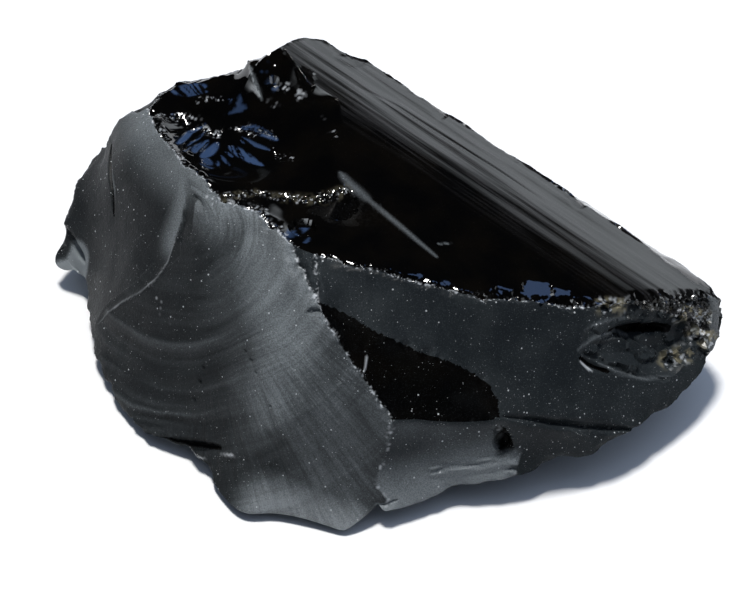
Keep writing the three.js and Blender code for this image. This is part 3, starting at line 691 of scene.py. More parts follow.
# the crack in the lobe and the little flake line by its shoulder
skin.groove(CRACK, 0.3, 1.2, "lobe")
marked([(-41.3, 15.5, 22.4), (-41, 11.7, 21), (-40.7, 9, 19)], 0.3, -0.18, frost_and_sheen, 0.3, 0.6)
LOBE_RIDGE = [(-29.6, 3.9, 31.4), (-29.4, 1.2, 29.9), (-30, -1.1, 27.9), (-31.1, -3, 25.4)]
skin.terrace(LOBE_RIDGE, 2.2, -0.45, 0.4, "lobe", "scar")
skin.groove([(-28.8, 1.4, 30.7), (-27.7, 0.2, 31.2), (-26.7, -2, 31.2)], 0.4, 0.6)
skin.groove([(-50, 13.5, 9.2), (-48.4, 11, 7.6), (-46.6, 8.6, 6.6)], 0.7, 1.4)
for pit in ((-20.4, -20.2, 20.3), (-19.6, -21.3, 19.8), (-18.9, -22.8, 18.8), (-26.9, -18.2, 14),
            (-27.4, -19.2, 11.9), (-28.2, -20.4, 9.1), (-16.7, -26.6, 15.8)):
    skin.scoop_out(pit, 0.5, 0.35)
# the thin raised line between lobe and scar
marked(HAIRLINE, 0.28, -0.12, pale, 0.13, 0.4)
pale *= 0.55 + 0.45 * noise(rest, 1.4, 45)
# the wedge-shaped nick in the crest, below the white chip
skin.groove([(-11.4, -18.9, 27.8), (-9.9, -18.9, 28.2), (-8.4, -19, 27.6)], 0.5, 0.9)

# frosting with painted sheen, lighter where light catches it: along the crest, the shoulders of the lobe,
# the foot and the flake at the west
crest_side = ease(from_ridge["crest"], 9, 0.5) * (0.75 + 0.25 * noise(rest, 6, 112))
crest_side *= 1 - 0.5 * ease(ring, 23, 29)
frost_and_sheen = np.maximum(frost_and_sheen, np.where(on_scar, 0.9 * crest_side, 0))
shoulder = ease(from_ridge["lobe_crest"], 9, 1) * (0.75 + 0.25 * noise(rest, 6, 113))
frost_and_sheen = np.maximum(frost_and_sheen, np.where(on_lobe, 0.7 * shoulder, 0))
# painted sheen: a bright run of frosting down the scar, and a fainter fan below it
BRIGHT_RUN = [(-18.5, -8.5, 31), (-16.4, -16.9, 28.3), (-13.9, -22.0, 24.6), (-15.6, -26.5, 19.5),
              (-19.5, -28.5, 14)]
stroke(frost_and_sheen, BRIGHT_RUN, 5.4, 0.8, 1.0, True, ("scar",))
stroke(frost_and_sheen, BRIGHT_RUN, 9.5, 0.3, 1.0, True, ("scar",))
stroke(frost_and_sheen, [(-13.9, -22, 24.6), (-9.5, -28, 18), (-6.5, -35, 8)], 6, 0.45, 0.95, False, ("scar",))
# the foot painted lighter, as where its flared lip catches the light
FOOT = [(-17, -35, 2.4), (-9.4, -36.8, 2.2), (-5.7, -38.2, 1.6)]
stroke(frost_and_sheen, FOOT, 3.6, 0.95, 0.95, False, ("scar",))
stroke(pale, FOOT, 2.6, 0.09, 0.95, False, ("scar",))
# painted sheen on the lobe's side of its ridge
stroke(frost_and_sheen, LOBE_RIDGE, 2.4, 0.7, 0.9, False, ("lobe", "scar"), -1)
lines_out = drawn_noise(turned * 0.8, ring * 0.1, 115)
lines_out += 0.7 * drawn_noise(turned * 2.2, ring * 0.14, 116)
lines_round = drawn_noise(turned * 0.03, wavy_ring * 0.9, 117)
lines_round += 0.7 * drawn_noise(turned * 0.04, wavy_ring * 2.2, 118)
in_fan = ease(turned, -72, -64) * ease(turned, -40, -50) * ease(ring, 17, 24)
combing = 0.92 + 0.22 * lines_out * in_fan + 0.16 * lines_round * (1 - in_fan)
frost_and_sheen = np.where(on_scar, frost_and_sheen * combing, frost_and_sheen)
# a painted light arc along each ripple crest, where the light catches it
painted_light_arcs = 0.5 * crease(wavy_ring, 17.6, 0.3, 0.9) + 0.16 * crease(wavy_ring, 21.8, 0.2, 0.7)
painted_light_arcs += 0.16 * crease(wavy_ring, 24.4, 0.2, 0.8) + 0.4 * crease(wavy_ring, 28.1, 0.25, 0.5)
painted_light_arcs += 0.2 * crease(wavy_ring, 32.4, 0.2, 0.6)
painted_light_arcs *= ease(turned, -62, -85) * (0.7 + 0.5 * lines_round) * ease(scar_depth, 0, 1)
frost_and_sheen = np.where(on_scar, frost_and_sheen + 0.75 * np.maximum(painted_light_arcs, 0) + 0.04 * lines_round, frost_and_sheen)
# the thin flake at the west, painted light grey as though light shone through it
stroke(frost_and_sheen, [(-46.9, 10.4, 6.8), (-48.2, 8.6, 4.2), (-49.6, 9.2, 2.8)], 2.4, 1.4, 0.3, False)
sparkle([(-35.3, -6.1, 18.3), (-33.8, -8.8, 17.4), (-32.9, -11.2, 15.9)], 1.6, 130, 0.7, 0.01, 0.55)
in_low = skin.on("low") * ease(from_ridge["low_upper"], 0, 1.2)
low_tone = ease(from_ridge["low_lip"], 9, 0.5) + 0.15 * noise(rest, 4, 118)
frost_and_sheen = np.maximum(frost_and_sheen, in_low * (0.16 + 0.8 * low_tone))

# ---------------------------------------------------------------- the glossy bowl at the top

BOWL_STRIKE = (-24.6, 18.6, 27.9)
bowl_ring, bowl_turned = polar(BOWL_STRIKE)
bowl_depth = skin.depth["bowl"]


def bowl_fans():
    """Long feathers that spread from the strike, with still glass between them."""
    spread = paired(bowl_turned * 0.075, bowl_ring * 0.12)
    feathers = noise(spread, 1.0, 51) + 0.5 * noise(spread * 2.3, 1.0, 52)
    zone = ease(bowl_ring, 1.5, 3.5) * ease(bowl_ring, 11, 8) * ease(bowl_depth, 0, 0.8)
    skin.lift(0.12 * feathers * zone)


bowl_fans()
skin.terrace([(-33, 22.2, 27.2), (-30.1, 21.2, 26.9), (-28.2, 20.4, 27.2), (-24.3, 19.8, 28.4),
              (-21, 20, 29.4), (-18.4, 20.4, 30.3)], 1.6, 0.5, 0.25, "bowl")
skin.refresh()
# a painted reflection of the blue sky on feathers of the break: a faint tone, and a little sunk
for path, width, strength in (
    ([(-27.4, 19.2, 27.2), (-29.6, 17.7, 27), (-31.3, 12.8, 29.4)], 0.5, 1.0),
    ([(-27.2, 17.9, 27.2), (-28.8, 15.5, 27.5), (-30.1, 10.8, 30)], 0.35, 0.8),
    ([(-26.8, 15.7, 27.4), (-28, 13.6, 28.2), (-28.8, 11.2, 29.6)], 0.75, 0.9),
    ([(-25.2, 15.1, 27.6), (-26.4, 12.6, 28.1), (-27.5, 10.4, 29.4)], 0.8, 1.0),
    ([(-26.6, 10.6, 28.8), (-26.6, 8.4, 29.8)], 0.9, 0.7),
    ([(-25.1, 10.6, 28.2), (-25, 8.8, 29)], 0.35, 0.8),
    ([(-27.6, 8, 30.6), (-25.2, 7.4, 30)], 0.4, 0.6),
    ([(-21.9, 17.5, 28.3), (-20, 17, 28.6), (-17.9, 15.6, 28.9), (-16, 14.1, 29)], 0.6, 1.0),
    ([(-21.6, 15.7, 28), (-19.4, 13.9, 28.2), (-17.2, 12.5, 28.6)], 0.35, 0.8),
    ([(-22.6, 15.4, 27.8), (-20.6, 14.3, 28)], 0.2, 0.6),
    ([(-23.5, 14.2, 27.6), (-21.8, 12.6, 27.9), (-19.6, 10.4, 28.5), (-17.7, 9, 28.9)], 0.85, 1.0),
    ([(-24, 13, 27.7), (-22.8, 11.6, 27.9)], 0.25, 0.7),
    ([(-24.8, 12.2, 27.8), (-23.2, 9.3, 28.6)], 0.28, 0.7),
    ([(-32.8, 26.4, 27), (-30, 26.5, 27.4), (-27.2, 26, 28.2)], 1.1, 0.85),
    ([(-31.4, 25.4, 27.1), (-27, 24.8, 28.4)], 0.5, 0.8),
    ([(-23.8, 22.6, 29.3), (-21.4, 20.6, 29.3), (-24.3, 20, 28.4)], 0.45, 0.6),
    ([(-22.1, 23.4, 29.8), (-21.9, 21.2, 29.4)], 0.3, 0.6),
    ([(-18.6, 25.1, 32.5), (-17.1, 23.9, 31.9), (-16.3, 22.2, 31.3)], 0.75, 0.9),
    ([(-18.5, 28, 33.4), (-17.2, 26, 32.9)], 0.3, 0.5),
    ([(-14.4, -8.6, 32.8), (-12.3, -5.9, 31.6), (-11.2, -5.2, 31.5)], 0.85, 0.85),
    ([(-11.6, -9.4, 32.2), (-10.9, -8.1, 31.9)], 0.3, 0.6),
):
    stroke(blue, path, width, strength, soft=0.25)
streaks = drawn_noise(bowl_turned * 0.3, bowl_ring * 0.2, 57)
streaks += 0.6 * drawn_noise(bowl_turned * 0.8, bowl_ring * 0.25, 59)
blue *= ease(streaks + 0.3 * noise(rest, 0.5, 58), -0.45, 0.05)
skin.lift(-0.1 * blue)
marked([(-20.6, 27.2, 31.6), (-20.3, 26, 32.1), (-19.5, 23.5, 31.3), (-18.6, 21.3, 30.4)],
       0.4, -0.2, frost_and_sheen, 0.38, 0.5)
skin.refresh()
from_lip = distance_to_path(rest, LIP_PATH) + 0.5 * noise(rest, 2.2, 60)
on_top = skin.on("bowl", "under_lip", "main", "corner", "shelf")
crumble(from_lip, 1.6, 0.9, 0.3, 61, on_top)
crumble(from_lip, 1.3, 0.45, 0.14, 62, on_top)
soil = np.where(on_top, 0.2 * ease(from_lip, 1.6, 0.3), 0)
earthy = np.maximum(earthy, soil * speckle(0.9, 64, -0.3, 0.5))
for path, reach, share in (
    (LIP_PATH, 1.2, 0.52),
    ([(-28, 18.6, 27.1), (-26.9, 17.9, 27.2), (-25.4, 16.6, 27.4)], 0.9, 0.15),
    ([(-32.1, 21.7, 27), (-30.1, 21.2, 26.9), (-28.2, 20.5, 27.2)], 0.5, 0.2),
    ([(-28.2, 23.4, 27.9), (-25.2, 22.8, 28.8)], 0.9, 0.4),
    ([(-16.1, 23.4, 31.9), (-14.6, 22.4, 31.8), (-12.7, 20.9, 31.8)], 1.2, 0.15),
    ([(-17.4, 20.6, 30.8), (-16.4, 19.8, 30.9)], 0.7, 0.2),
    ([(-9.4, 16.4, 32.4), (-7.3, 11.7, 32.8)], 0.9, 0.35),
    ([(-8.1, 8.7, 32.4), (-7.3, 5.6, 32.6)], 0.35, -0.1),
    ([(-8, 4.2, 32.3), (-6, 2.8, 32.8)], 0.5, 0.0),
    ([(-34, 17.6, 28.9), (-31.6, 12, 30.6), (-30, 7, 32)], 0.8, 0.3),
    ([(-26, -0.6, 32.6), (-18.6, -3.6, 32.6), (-14.6, -7.4, 32.4)], 1.6, 0.42),
    ([(-18.2, -2.3, 32.7), (-16.8, -6.5, 33.2)], 1.5, 0.6),
):
    sparkle(path, reach, 300 + int(10 * reach), 0.75, share=share + 0.08)
skin.refresh()
# the small facets below the lip and round the bowl
skin.slice_off((-6.4, -1.7, 32.2), (0.25, -0.35, 0.9), 0.2, 2.6)
skin.slice_off((-12.0, -6.0, 31.3), (0.02, 0.33, 0.94), 0.1, 2.0)
marked([(-10, -2.7, 30.9), (-10, -6, 31.3), (-9.9, -9.2, 31.6)], 0.22, 0.3, frost_and_sheen, 0.15, 0.5)
for place, outward, depth, reach in (
    ((-17.2, 23.2, 31.7), (0.05, 0.3, 0.95), 0.15, 1.3),
    ((-16.8, 27.6, 33.8), (0.3, -0.35, 0.9), 0.12, 1.8),
    ((-17.0, -5.2, 33.1), (0.3, 0.0, 0.95), 0.25, 2.2),
    ((-12.6, 22.9, 32.8), (0.2, -0.3, 0.93), 0.1, 2.4),
):
    skin.slice_off(place, outward, depth, reach)

# ---------------------------------------------------------------- the black top

EDGE_START, EDGE_END = np.array([-2.3, 31.0]), np.array([50.3, -4.6])
edge_run = unit(EDGE_END - EDGE_START)
along = (rest[:, :2] - EDGE_START) @ edge_run
inward = (rest[:, 0] - EDGE_START[0]) * edge_run[1] - (rest[:, 1] - EDGE_START[1]) * edge_run[0]
on_main = skin.on("main")


def top_waves():
    """Long faint waves that follow the far edge."""
    drawn = paired(along * 0.035, inward)
    height = 0.055 * noise(drawn, 1.5, 71) + 0.03 * noise(drawn, 0.7, 72)
    band = ease(inward, 15, 4) + 0.12
    skin.lift(height * band * ease(inward, 0, 1.2), "main")


top_waves()
skin.refresh()
# a faint welt with a pale sheen painted along it, as light catching the small ridge
skin.groove(PALE_STREAK, 0.5, -0.04)
stroke(frost_and_sheen, PALE_STREAK, 0.36, 0.4, soft=0.9)
stroke(frost_and_sheen, PALE_STREAK[:3], 0.7, 0.36, soft=0.9)
marked([(7.9, -7.2, 29.6), (10.1, -6.5, 28.9)], 0.18, 0.1, frost_and_sheen, 0.14, 0.5)
skin.groove([(-3.6, 23.7, 30.7), (2.6, 21, 28.9), (10.2, 16.1, 26.9), (17.8, 11.3, 25),
             (25.3, 6.2, 23.1)], 0.32, 0.09)
# the tilt at which a flake of the top mirrors the blue soft light to the camera
BLUE_TILT = (0.278, -0.169, 0.946)
for place, depth, reach in (
    ((22.6, -12.6, 25.4), 0.15, 2.3), ((26.4, -12.4, 24.5), 0.16, 1.5), ((16.6, -15.2, 27.4), 0.12, 1.2),
    ((30.2, -12.0, 23.6), 0.12, 1.0),
):
    skin.slice_off(place, BLUE_TILT, depth, reach)
BLUE_STRETCH = (14, 32)
in_stretch = (rest[:, 0] > BLUE_STRETCH[0]) & (rest[:, 0] < BLUE_STRETCH[1])
by_ridge = np.flatnonzero((from_ridge["front_ridge"] < 1.6) & on_main & in_stretch)
for spot in rng.choice(by_ridge, 60):
    skin.slice_off(points[spot], BLUE_TILT, rng.uniform(0.03, 0.1), rng.uniform(0.4, 1.2))
combed_top = drawn_noise(along * 0.3, inward * 1.3, 77)
skin.lift(0.012 * combed_top * ease(from_ridge["front_ridge"], 6, 2), "main")
skin.refresh()

# ---------------------------------------------------------------- the front and the end

skin.groove([(17, -28.2, 15.2), (21.5, -27.8, 13.9), (26, -27.4, 12.3), (32.1, -26.4, 10.1),
             (38.4, -25, 7.4)], 0.6, 1.2)
skin.groove(SCOOP_WEDGE, 0.6, 1.0)
stroke(pale, [(28.9, -19.9, 17.9), (30, -20.3, 16.9), (31, -20.6, 16.2)], 0.2, 0.7)
skin.groove([(34, -18.3, 15.4), (36.7, -19, 13.8), (39, -18.8, 12.4), (43.1, -17.5, 10.5)],
            0.35, 0.7)
skin.groove(SCOOP_SLIT, 0.85, 1.5)
for path, width, rise in (
    ([(28.5, -18.9, 19.1), (31.3, -16.5, 19.2), (34.9, -14.3, 17.7), (37.1, -13.9, 16.1)], 0.3, -0.25),
    ([(29.7, -16.4, 20.8), (32.0, -14.8, 20.6), (35.9, -13.0, 19.5)], 0.25, -0.2),
    ([(32.0, -19.2, 16.5), (34.8, -19.6, 14.6), (39.2, -18.8, 12.3), (42.8, -17.2, 10.8)], 0.3, -0.25),
    ([(30.4, -17.6, 18.9), (33.2, -16.6, 17.6), (37.0, -15.8, 15.2)], 0.3, 0.4),
):
    skin.groove(path, width, rise)
    if rise < 0:
        stroke(frost_and_sheen, path, width, 0.3)
marked([(32.8, -15.9, 18.4), (36.8, -14.4, 16.4), (41.5, -12.9, 14.4)], 0.25, -0.25, frost_and_sheen, 0.3, 0.4)
THIN_FIN = [(-1.9, -21, 24.6), (-2.4, -23, 23), (-3.2, -26.2, 21.5)]
skin.groove(THIN_FIN, 0.22, -0.25)
stroke(pale, THIN_FIN[1:], 0.12, 0.55)
NOTCH = [(17.1, -29, 12.4), (17.9, -29.3, 10.5), (18.2, -29.7, 8.6)]
skin.scoop_out((17.6, -29.2, 10.4), 1.7, 0.9)
skin.groove(NOTCH, 0.7, 0.8)
crumble(distance_to_path(rest, NOTCH), 2.2, 1.1, 0.5, 85)
sparkle(NOTCH, 1.3, 86, 0.5, 0.1, 0.5)
flaked = 0.8 * (crumbled(rest * (0.5, 1, 1), 2.6, 87) / 2.6 - 0.3)
skin.lift(flaked * ease(skin.depth["scoop"], 0, 1.2), "scoop")
skin.groove([(-0.4, -35.9, 3.5), (2.3, -35.2, 4.3)], 0.3, 0.5)
stroke(pale, [(30.4, -28.8, 6.1), (33, -28.1, 6), (35.4, -27, 5.9)], 0.2, 0.45)
fibre = drawn_noise(rest[:, 0] * 0.35 + rest[:, 2] * 0.2, rest[:, 2] * 2.6, 81)
from_fibres, _, _ = skin.track([(8, -31.6, 6.9), (14, -31.2, 6.9), (21.7, -30.6, 6.2)])
skin.lift(0.28 * fibre * ease(from_fibres, 2.4, 0.6), "low")
fibrous = np.where(skin.on("low"), ease(from_fibres, 3.0, 0.8) * (0.62 + 0.6 * fibre), 0)
frost_and_sheen = np.maximum(frost_and_sheen, fibrous)
skin.lift(0.1 * layered(rest, 5, 83) * ease(from_ridge["front_ridge"], 0, 1),
          "front", "strip", "hollow", "low")
skin.refresh()

crust_zone = np.maximum(skin.on("crust") * 1.0, ease(from_ridge["crust_rim"], 2.2, 0.2))
for path, width in (([(42.7, -14.8, 11.7), (46.1, -13.4, 11.8), (49.4, -11.6, 10.6)], 1.6),
                    ([(30, -13.6, 22.6), (33, -13.2, 22), (38, -10.9, 20.9), (44, -9.2, 17.6)], 0.8)):
    crust_zone = np.maximum(crust_zone, ease(distance_to_path(rest, path), width, 0.3 * width))
FLAT_TIP = [(49.9, -6.1, 15.2), (50.3, -8.2, 13.1), (49.7, -11.1, 10.7)]
from_tip = distance_to_path(rest, FLAT_TIP)
crust_zone *= ease(from_tip, 0.6, 1.2)
skin.lift(crust_zone * (crumbled(rest, 2.1, 91) / 2.1 - 0.3))
skin.refresh()
for grain, strength, sunk, seed in ((0.9, 0.4, 0.1, 92), (0.45, 0.16, 0.05, 93)):
    skin.lift(crust_zone * (strength * crumbled(rest, grain, seed) / grain - sunk))
for place, radius, depth in (((46.4, -10.9, 13.4), 1.5, 1.1), ((48.4, -11.2, 11.6), 1.1, 0.7),
                             ((44.8, -10.2, 14.6), 0.9, 0.6)):
    skin.scoop_out(place, radius, depth)
skin.refresh()
CREAM_CRUMBS = (
    [(44.5, -10.3, 16.6), (46.4, -9, 16.2), (48.5, -8.9, 14.2)],
    [(42.7, -14.8, 11.7), (44.6, -14.1, 11.9), (46.1, -13.4, 11.8)],
    [(47.8, -10.7, 12.8), (49.2, -10.3, 12), (49.8, -10.9, 10.9)],
    [(32.6, -13.2, 22.4), (35.4, -12.6, 21.4)],
)
for path in CREAM_CRUMBS:
    near_cream = ease(distance_to_path(rest, path), 2.0, 0.5)
    earthy = np.maximum(earthy, 0.8 * near_cream * speckle(0.9, 241, 0.0, 0.4))
    pale = np.maximum(pale, 0.8 * near_cream * speckle(0.4, 243, 0.35, 0.65))
frost_and_sheen = np.maximum(frost_and_sheen, 0.35 * ease(from_tip, 1.3, 0.7))

# ---------------------------------------------------------------- chipped ridges

# Each ridge: how many flake scars, their reaches and their depths
for ridge, amount, reaches, depths in (
    ("crest", 110, (0.8, 2.0), (0.05, 0.2)),
    ("lobe_crest", 40, (0.8, 2.0), (0.05, 0.18)),
    ("front_ridge", 90, (0.8, 2.0), (0.05, 0.18)),
    ("hollow_rim", 40, (0.6, 1.6), (0.04, 0.14)),
    ("low_rim", 60, (1.5, 4.0), (0.06, 0.22)),
    ("front_rim", 24, (2.0, 5.0), (0.06, 0.25)),
    ("strip_rim", 36, (1.2, 3.0), (0.06, 0.25)),
    ("low_lip", 30, (1.2, 3.0), (0.06, 0.2)),
    ("west_rim", 60, (1.5, 4.5), (0.1, 0.45)),
    ("crown", 30, (1.0, 2.6), (0.06, 0.25)),
    ("bowl_rim", 26, (0.8, 2.0), (0.04, 0.14)),
    ("far_edge", 40, (1.2, 3.5), (0.04, 0.14)),
):
    chip(ridge, amount, reaches, depths)
skin.refresh()
# The same for the finer ones, and how far they lean
for ridge, amount, reaches, depths, lean in (
    ("crest", 320, (0.4, 0.9), (0.03, 0.1), 0.5),
    ("lobe_crest", 80, (0.4, 0.9), (0.03, 0.1), 0.5),
    ("front_ridge", 240, (0.4, 0.9), (0.03, 0.1), 0.5),
    ("hollow_rim", 80, (0.4, 0.9), (0.03, 0.08), 0.5),
    ("low_rim", 200, (0.7, 1.6), (0.04, 0.12), 0.4),
    ("west_rim", 120, (0.7, 1.6), (0.05, 0.2), 0.4),
    ("front_rim", 60, (0.7, 1.8), (0.03, 0.1), 0.4),
    ("crown", 80, (0.5, 1.2), (0.04, 0.15), 0.5),
):
    chip(ridge, amount, reaches, depths, lean)
skin.refresh()
# Each ridge's crumbs with their painted glints: reach, seed, strength, depth and share
for ridge, reach, seed, strength, depth, share in (
    ("crest", 0.45, 401, 1.0, 0.08, 0.1),
    ("lobe_crest", 0.4, 411, 0.8, 0.08, 0.2),
    ("front_ridge", 0.45, 421, 0.7, 0.08, 0.25),
    ("crown", 0.5, 431, 0.7, 0.08, 0.2),
    ("low_west", 0.6, 435, 0.8, 0.08, 0.3),
    ("bowl_rim", 0.6, 441, 0.6, 0.08, 0.5),
    ("low_rim", 0.6, 451, 0.45, 0.06, 0.35),
    ("far_edge", 0.5, 461, 0.5, 0.04, 0.45),
):
    sparkle(ridge, reach, seed, strength, depth, share)
for spot, radius in (((-10.1, -16.9, 29.2), 0.5), ((29.4, -14.3, 23.5), 0.4), ((-7, 4, 32.5), 0.25)):
    away = np.linalg.norm(rest - np.array(spot), axis=1)
    pale = np.maximum(pale, ease(away, radius, radius * 0.6))
skin.refresh()

# ---------------------------------------------------------------- hand the skin to Blender


SHARP_ANGLE = 24


def placed(name, data):
    """A new object for some data, in the scene."""
    obj = bpy.data.objects.new(name, data)
    bpy.context.scene.collection.objects.link(obj)
    return obj


def to_mesh(name, points, faces):
    mesh = bpy.data.meshes.new(name)
    mesh.vertices.add(len(points))
    mesh.vertices.foreach_set("co", (points * MM).astype(np.float32).reshape(-1))
    mesh.loops.add(len(faces) * 3)
    mesh.loops.foreach_set("vertex_index", faces.astype(np.int32).reshape(-1))
    mesh.polygons.add(len(faces))
    mesh.polygons.foreach_set("loop_start", np.arange(0, len(faces) * 3, 3, dtype=np.int32))
    mesh.update(calc_edges=True)
    mesh.validate()
    mesh.shade_smooth()
    mesh.set_sharp_from_angle(angle=math.radians(SHARP_ANGLE))
    return placed(name, mesh)


def set_vertex_layer(name, values):
    """Gives the chunk's vertices a value each, or a vector each."""
    kind, field = ("FLOAT", "value") if values.ndim == 1 else ("FLOAT_VECTOR", "vector")
    layer = chunk.data.attributes.new(name, kind, "POINT")
    layer.data.foreach_set(field, values.astype(np.float32).reshape(-1))


points[:, 2] = np.maximum(points[:, 2], 0)
chunk = to_mesh("obsidian_chunk_skin", points, skin.faces)

# Which finish each facet has; any other facet is polished. The deep finish is painted shade: black glass
# that barely mirrors
FINISH = {
    "satin": ("lobe", "scar", "back_west", "back_mid_low", "back_right_low"),
    "dull": ("front", "brow", "scoop", "strip", "low", "back_left", "end_back") + UNDER + ("base",),
    "deep": ("hollow",),
    "crust": ("crust",),
}
KINDS = ("polished",) + tuple(FINISH)
kind = np.zeros(len(NAMES), int)
for finish, names in FINISH.items():
    for name in names:
        kind[NAMES.index(name)] = KINDS.index(finish)
face_kind = kind[skin.label]
middles = rest[skin.faces].mean(1)
# cracks, slits and the notch get the deep finish: painted shade in them
for path, beside in ((CRACK, 0.28), (SLIT, 0.45), (NOTCH, 1.1), (SCOOP_SLIT, 0.7), (SCOOP_WEDGE, 0.35)):
    face_kind[distance_to_path(middles, path) < beside] = KINDS.index("deep")
# a ragged patch below the lip gets the deep finish as well: painted shade, black without glints
from_facet = distance_to_path(middles, [(-8.0, -2.6, 31.9), (-5.4, -2.8, 32.2)])
below_lip = from_facet + 1.6 * noise(middles, 1.3, 161) < 2.3
face_kind[below_lip & (face_kind == KINDS.index("polished"))] = KINDS.index("deep")
chunk.data.polygons.foreach_set("material_index", face_kind.astype(np.int32))

for layer_name, layer in (("pale", pale), ("frost_and_sheen", frost_and_sheen), ("blue", blue), ("earthy", earthy)):
    set_vertex_layer(layer_name, np.clip(layer, 0, 1.5))
feather = np.where(on_scar[:, None], paired(turned * 0.5, ring * 0.2), rest)
set_vertex_layer("grain_way", np.where(on_main[:, None], paired(along * 0.05, inward), feather))
set_vertex_layer("sweep", paired(turned, wavy_ring))
patchy = ease(noise(rest, 7, 119), -0.25, 0.4)
for layer_name, zone, layer in (
    ("fan", on_scar, ease(turned, -120, -90) * ease(ring, 21, 29)),
    ("rings", on_scar, 0.25 + 0.75 * patchy * ease(turned, -84, -60) * ease(ring, 32, 26)),
    ("feathered", on_scar, 0.35 + 0.65 * ease(ring, 16, 30)),
    ("drawn", on_main, ease(inward, 17, 7) * (1 - 0.5 * ease(along, 15, 50))),
):
    set_vertex_layer(layer_name, np.where(zone, layer, 0.0))


# ---------------------------------------------------------------- materials

class Nodes:
    """The nodes of a material or of the world."""

    def __init__(self, owner):
        owner.use_nodes = True
        self.of_world = isinstance(owner, bpy.types.World)
        self.tree = owner.node_tree
        self.tree.nodes.clear()

    def add(self, kind, inputs=None, **settings):
        node = self.tree.nodes.new(kind)
        for key, value in settings.items():
            setattr(node, key, value)
        for key, value in (inputs or {}).items():
            self.set(node.inputs[key], value)
        return node

    def set(self, socket, value):
        if isinstance(value, bpy.types.NodeSocket):
            self.tree.links.new(value, socket)
        else:
            socket.default_value = value

    def math(self, operation, a, b=0.0, c=0.0, clamp=False):
        node = self.add("ShaderNodeMath", operation=operation, use_clamp=clamp)
        for socket, value in zip(node.inputs, (a, b, c)):
            self.set(socket, value)
        return node.outputs[0]

    def times(self, first, *others):
        for other in others:
            first = self.math("MULTIPLY", first, other)
        return first

    def plus(self, first, *others):
        for other in others:
            first = self.math("ADD", first, other)
        return first

    def noise(self, where, scale, detail):
        node = self.add("ShaderNodeTexNoise", {"Vector": where, "Scale": scale, "Detail": detail})
        return node.outputs[0]

    def show(self, shader):
        """Makes this shader the surface."""
        kind = "ShaderNodeOutputWorld" if self.of_world else "ShaderNodeOutputMaterial"
        self.tree.links.new(shader.outputs[0], self.add(kind).inputs["Surface"])

    def attribute(self, name, out="Fac"):
        return self.add("ShaderNodeAttribute", attribute_name=name).outputs[out]

    def range(self, value, low, high, to_low=0.0, to_high=1.0):
        """Goes smoothly from to_low at low to to_high at high; low may be over high."""
        node = self.add("ShaderNodeMapRange", clamp=True, interpolation_type="SMOOTHSTEP")
        for key, item in zip(
            ("Value", "From Min", "From Max", "To Min", "To Max"),
            (value, low, high, to_low, to_high),
        ):
            self.set(node.inputs[key], item)
        return node.outputs["Result"]

    def mix(self, factor, a, b):
        node = self.add("ShaderNodeMix", data_type="RGBA")
        self.set(node.inputs["Factor"], factor)
        for socket, value in ((node.inputs[6], a), (node.inputs[7], b)):
            self.set(socket, value)
        return node.outputs[2]


def speck_mask(n, where, size, part):
    """Tiny scattered dots: 1 on a dot, about part of the cells having one."""
    cells = n.add("ShaderNodeTexVoronoi", {"Vector": where, "Scale": 1 / (size * MM)})
    draw = n.add("ShaderNodeSeparateColor", {0: cells.outputs["Color"]})
    radius = n.range(draw.outputs[1], 0.0, 1.0, 0.05, 0.14)
    dot = n.math("LESS_THAN", cells.outputs["Distance"], radius)
    return n.times(dot, n.math("LESS_THAN", draw.outputs[0], part))


# colours the layers mix in: the pale one partly painted glints, the frosting grey partly painted sheen,
# the sky blue a painted reflection
PALE_AND_GLINT_GREY = (0.5, 0.52, 0.54, 1)
FROST_AND_SHEEN_GREY = (0.18, 0.198, 0.207, 1)
PAINTED_SKY_BLUE = (0.028, 0.052, 0.11, 1)
EARTH = (0.2, 0.18, 0.12, 1)
FLOW_GREY = (0.07, 0.068, 0.07, 1)
DUST_GREY = (0.48, 0.5, 0.51, 1)
GLASS_IOR = 1.5
GRAIN_DEPTH = 0.00016


def combed(n, sweep, scale):
    """Fine lines drawn out one way over the sweep of the break."""
    drawn_out = n.add("ShaderNodeVectorMath", {0: sweep, 1: scale}, operation="MULTIPLY")
    return n.range(n.noise(drawn_out.outputs[0], 1.0, 4.0), 0.33, 0.67)


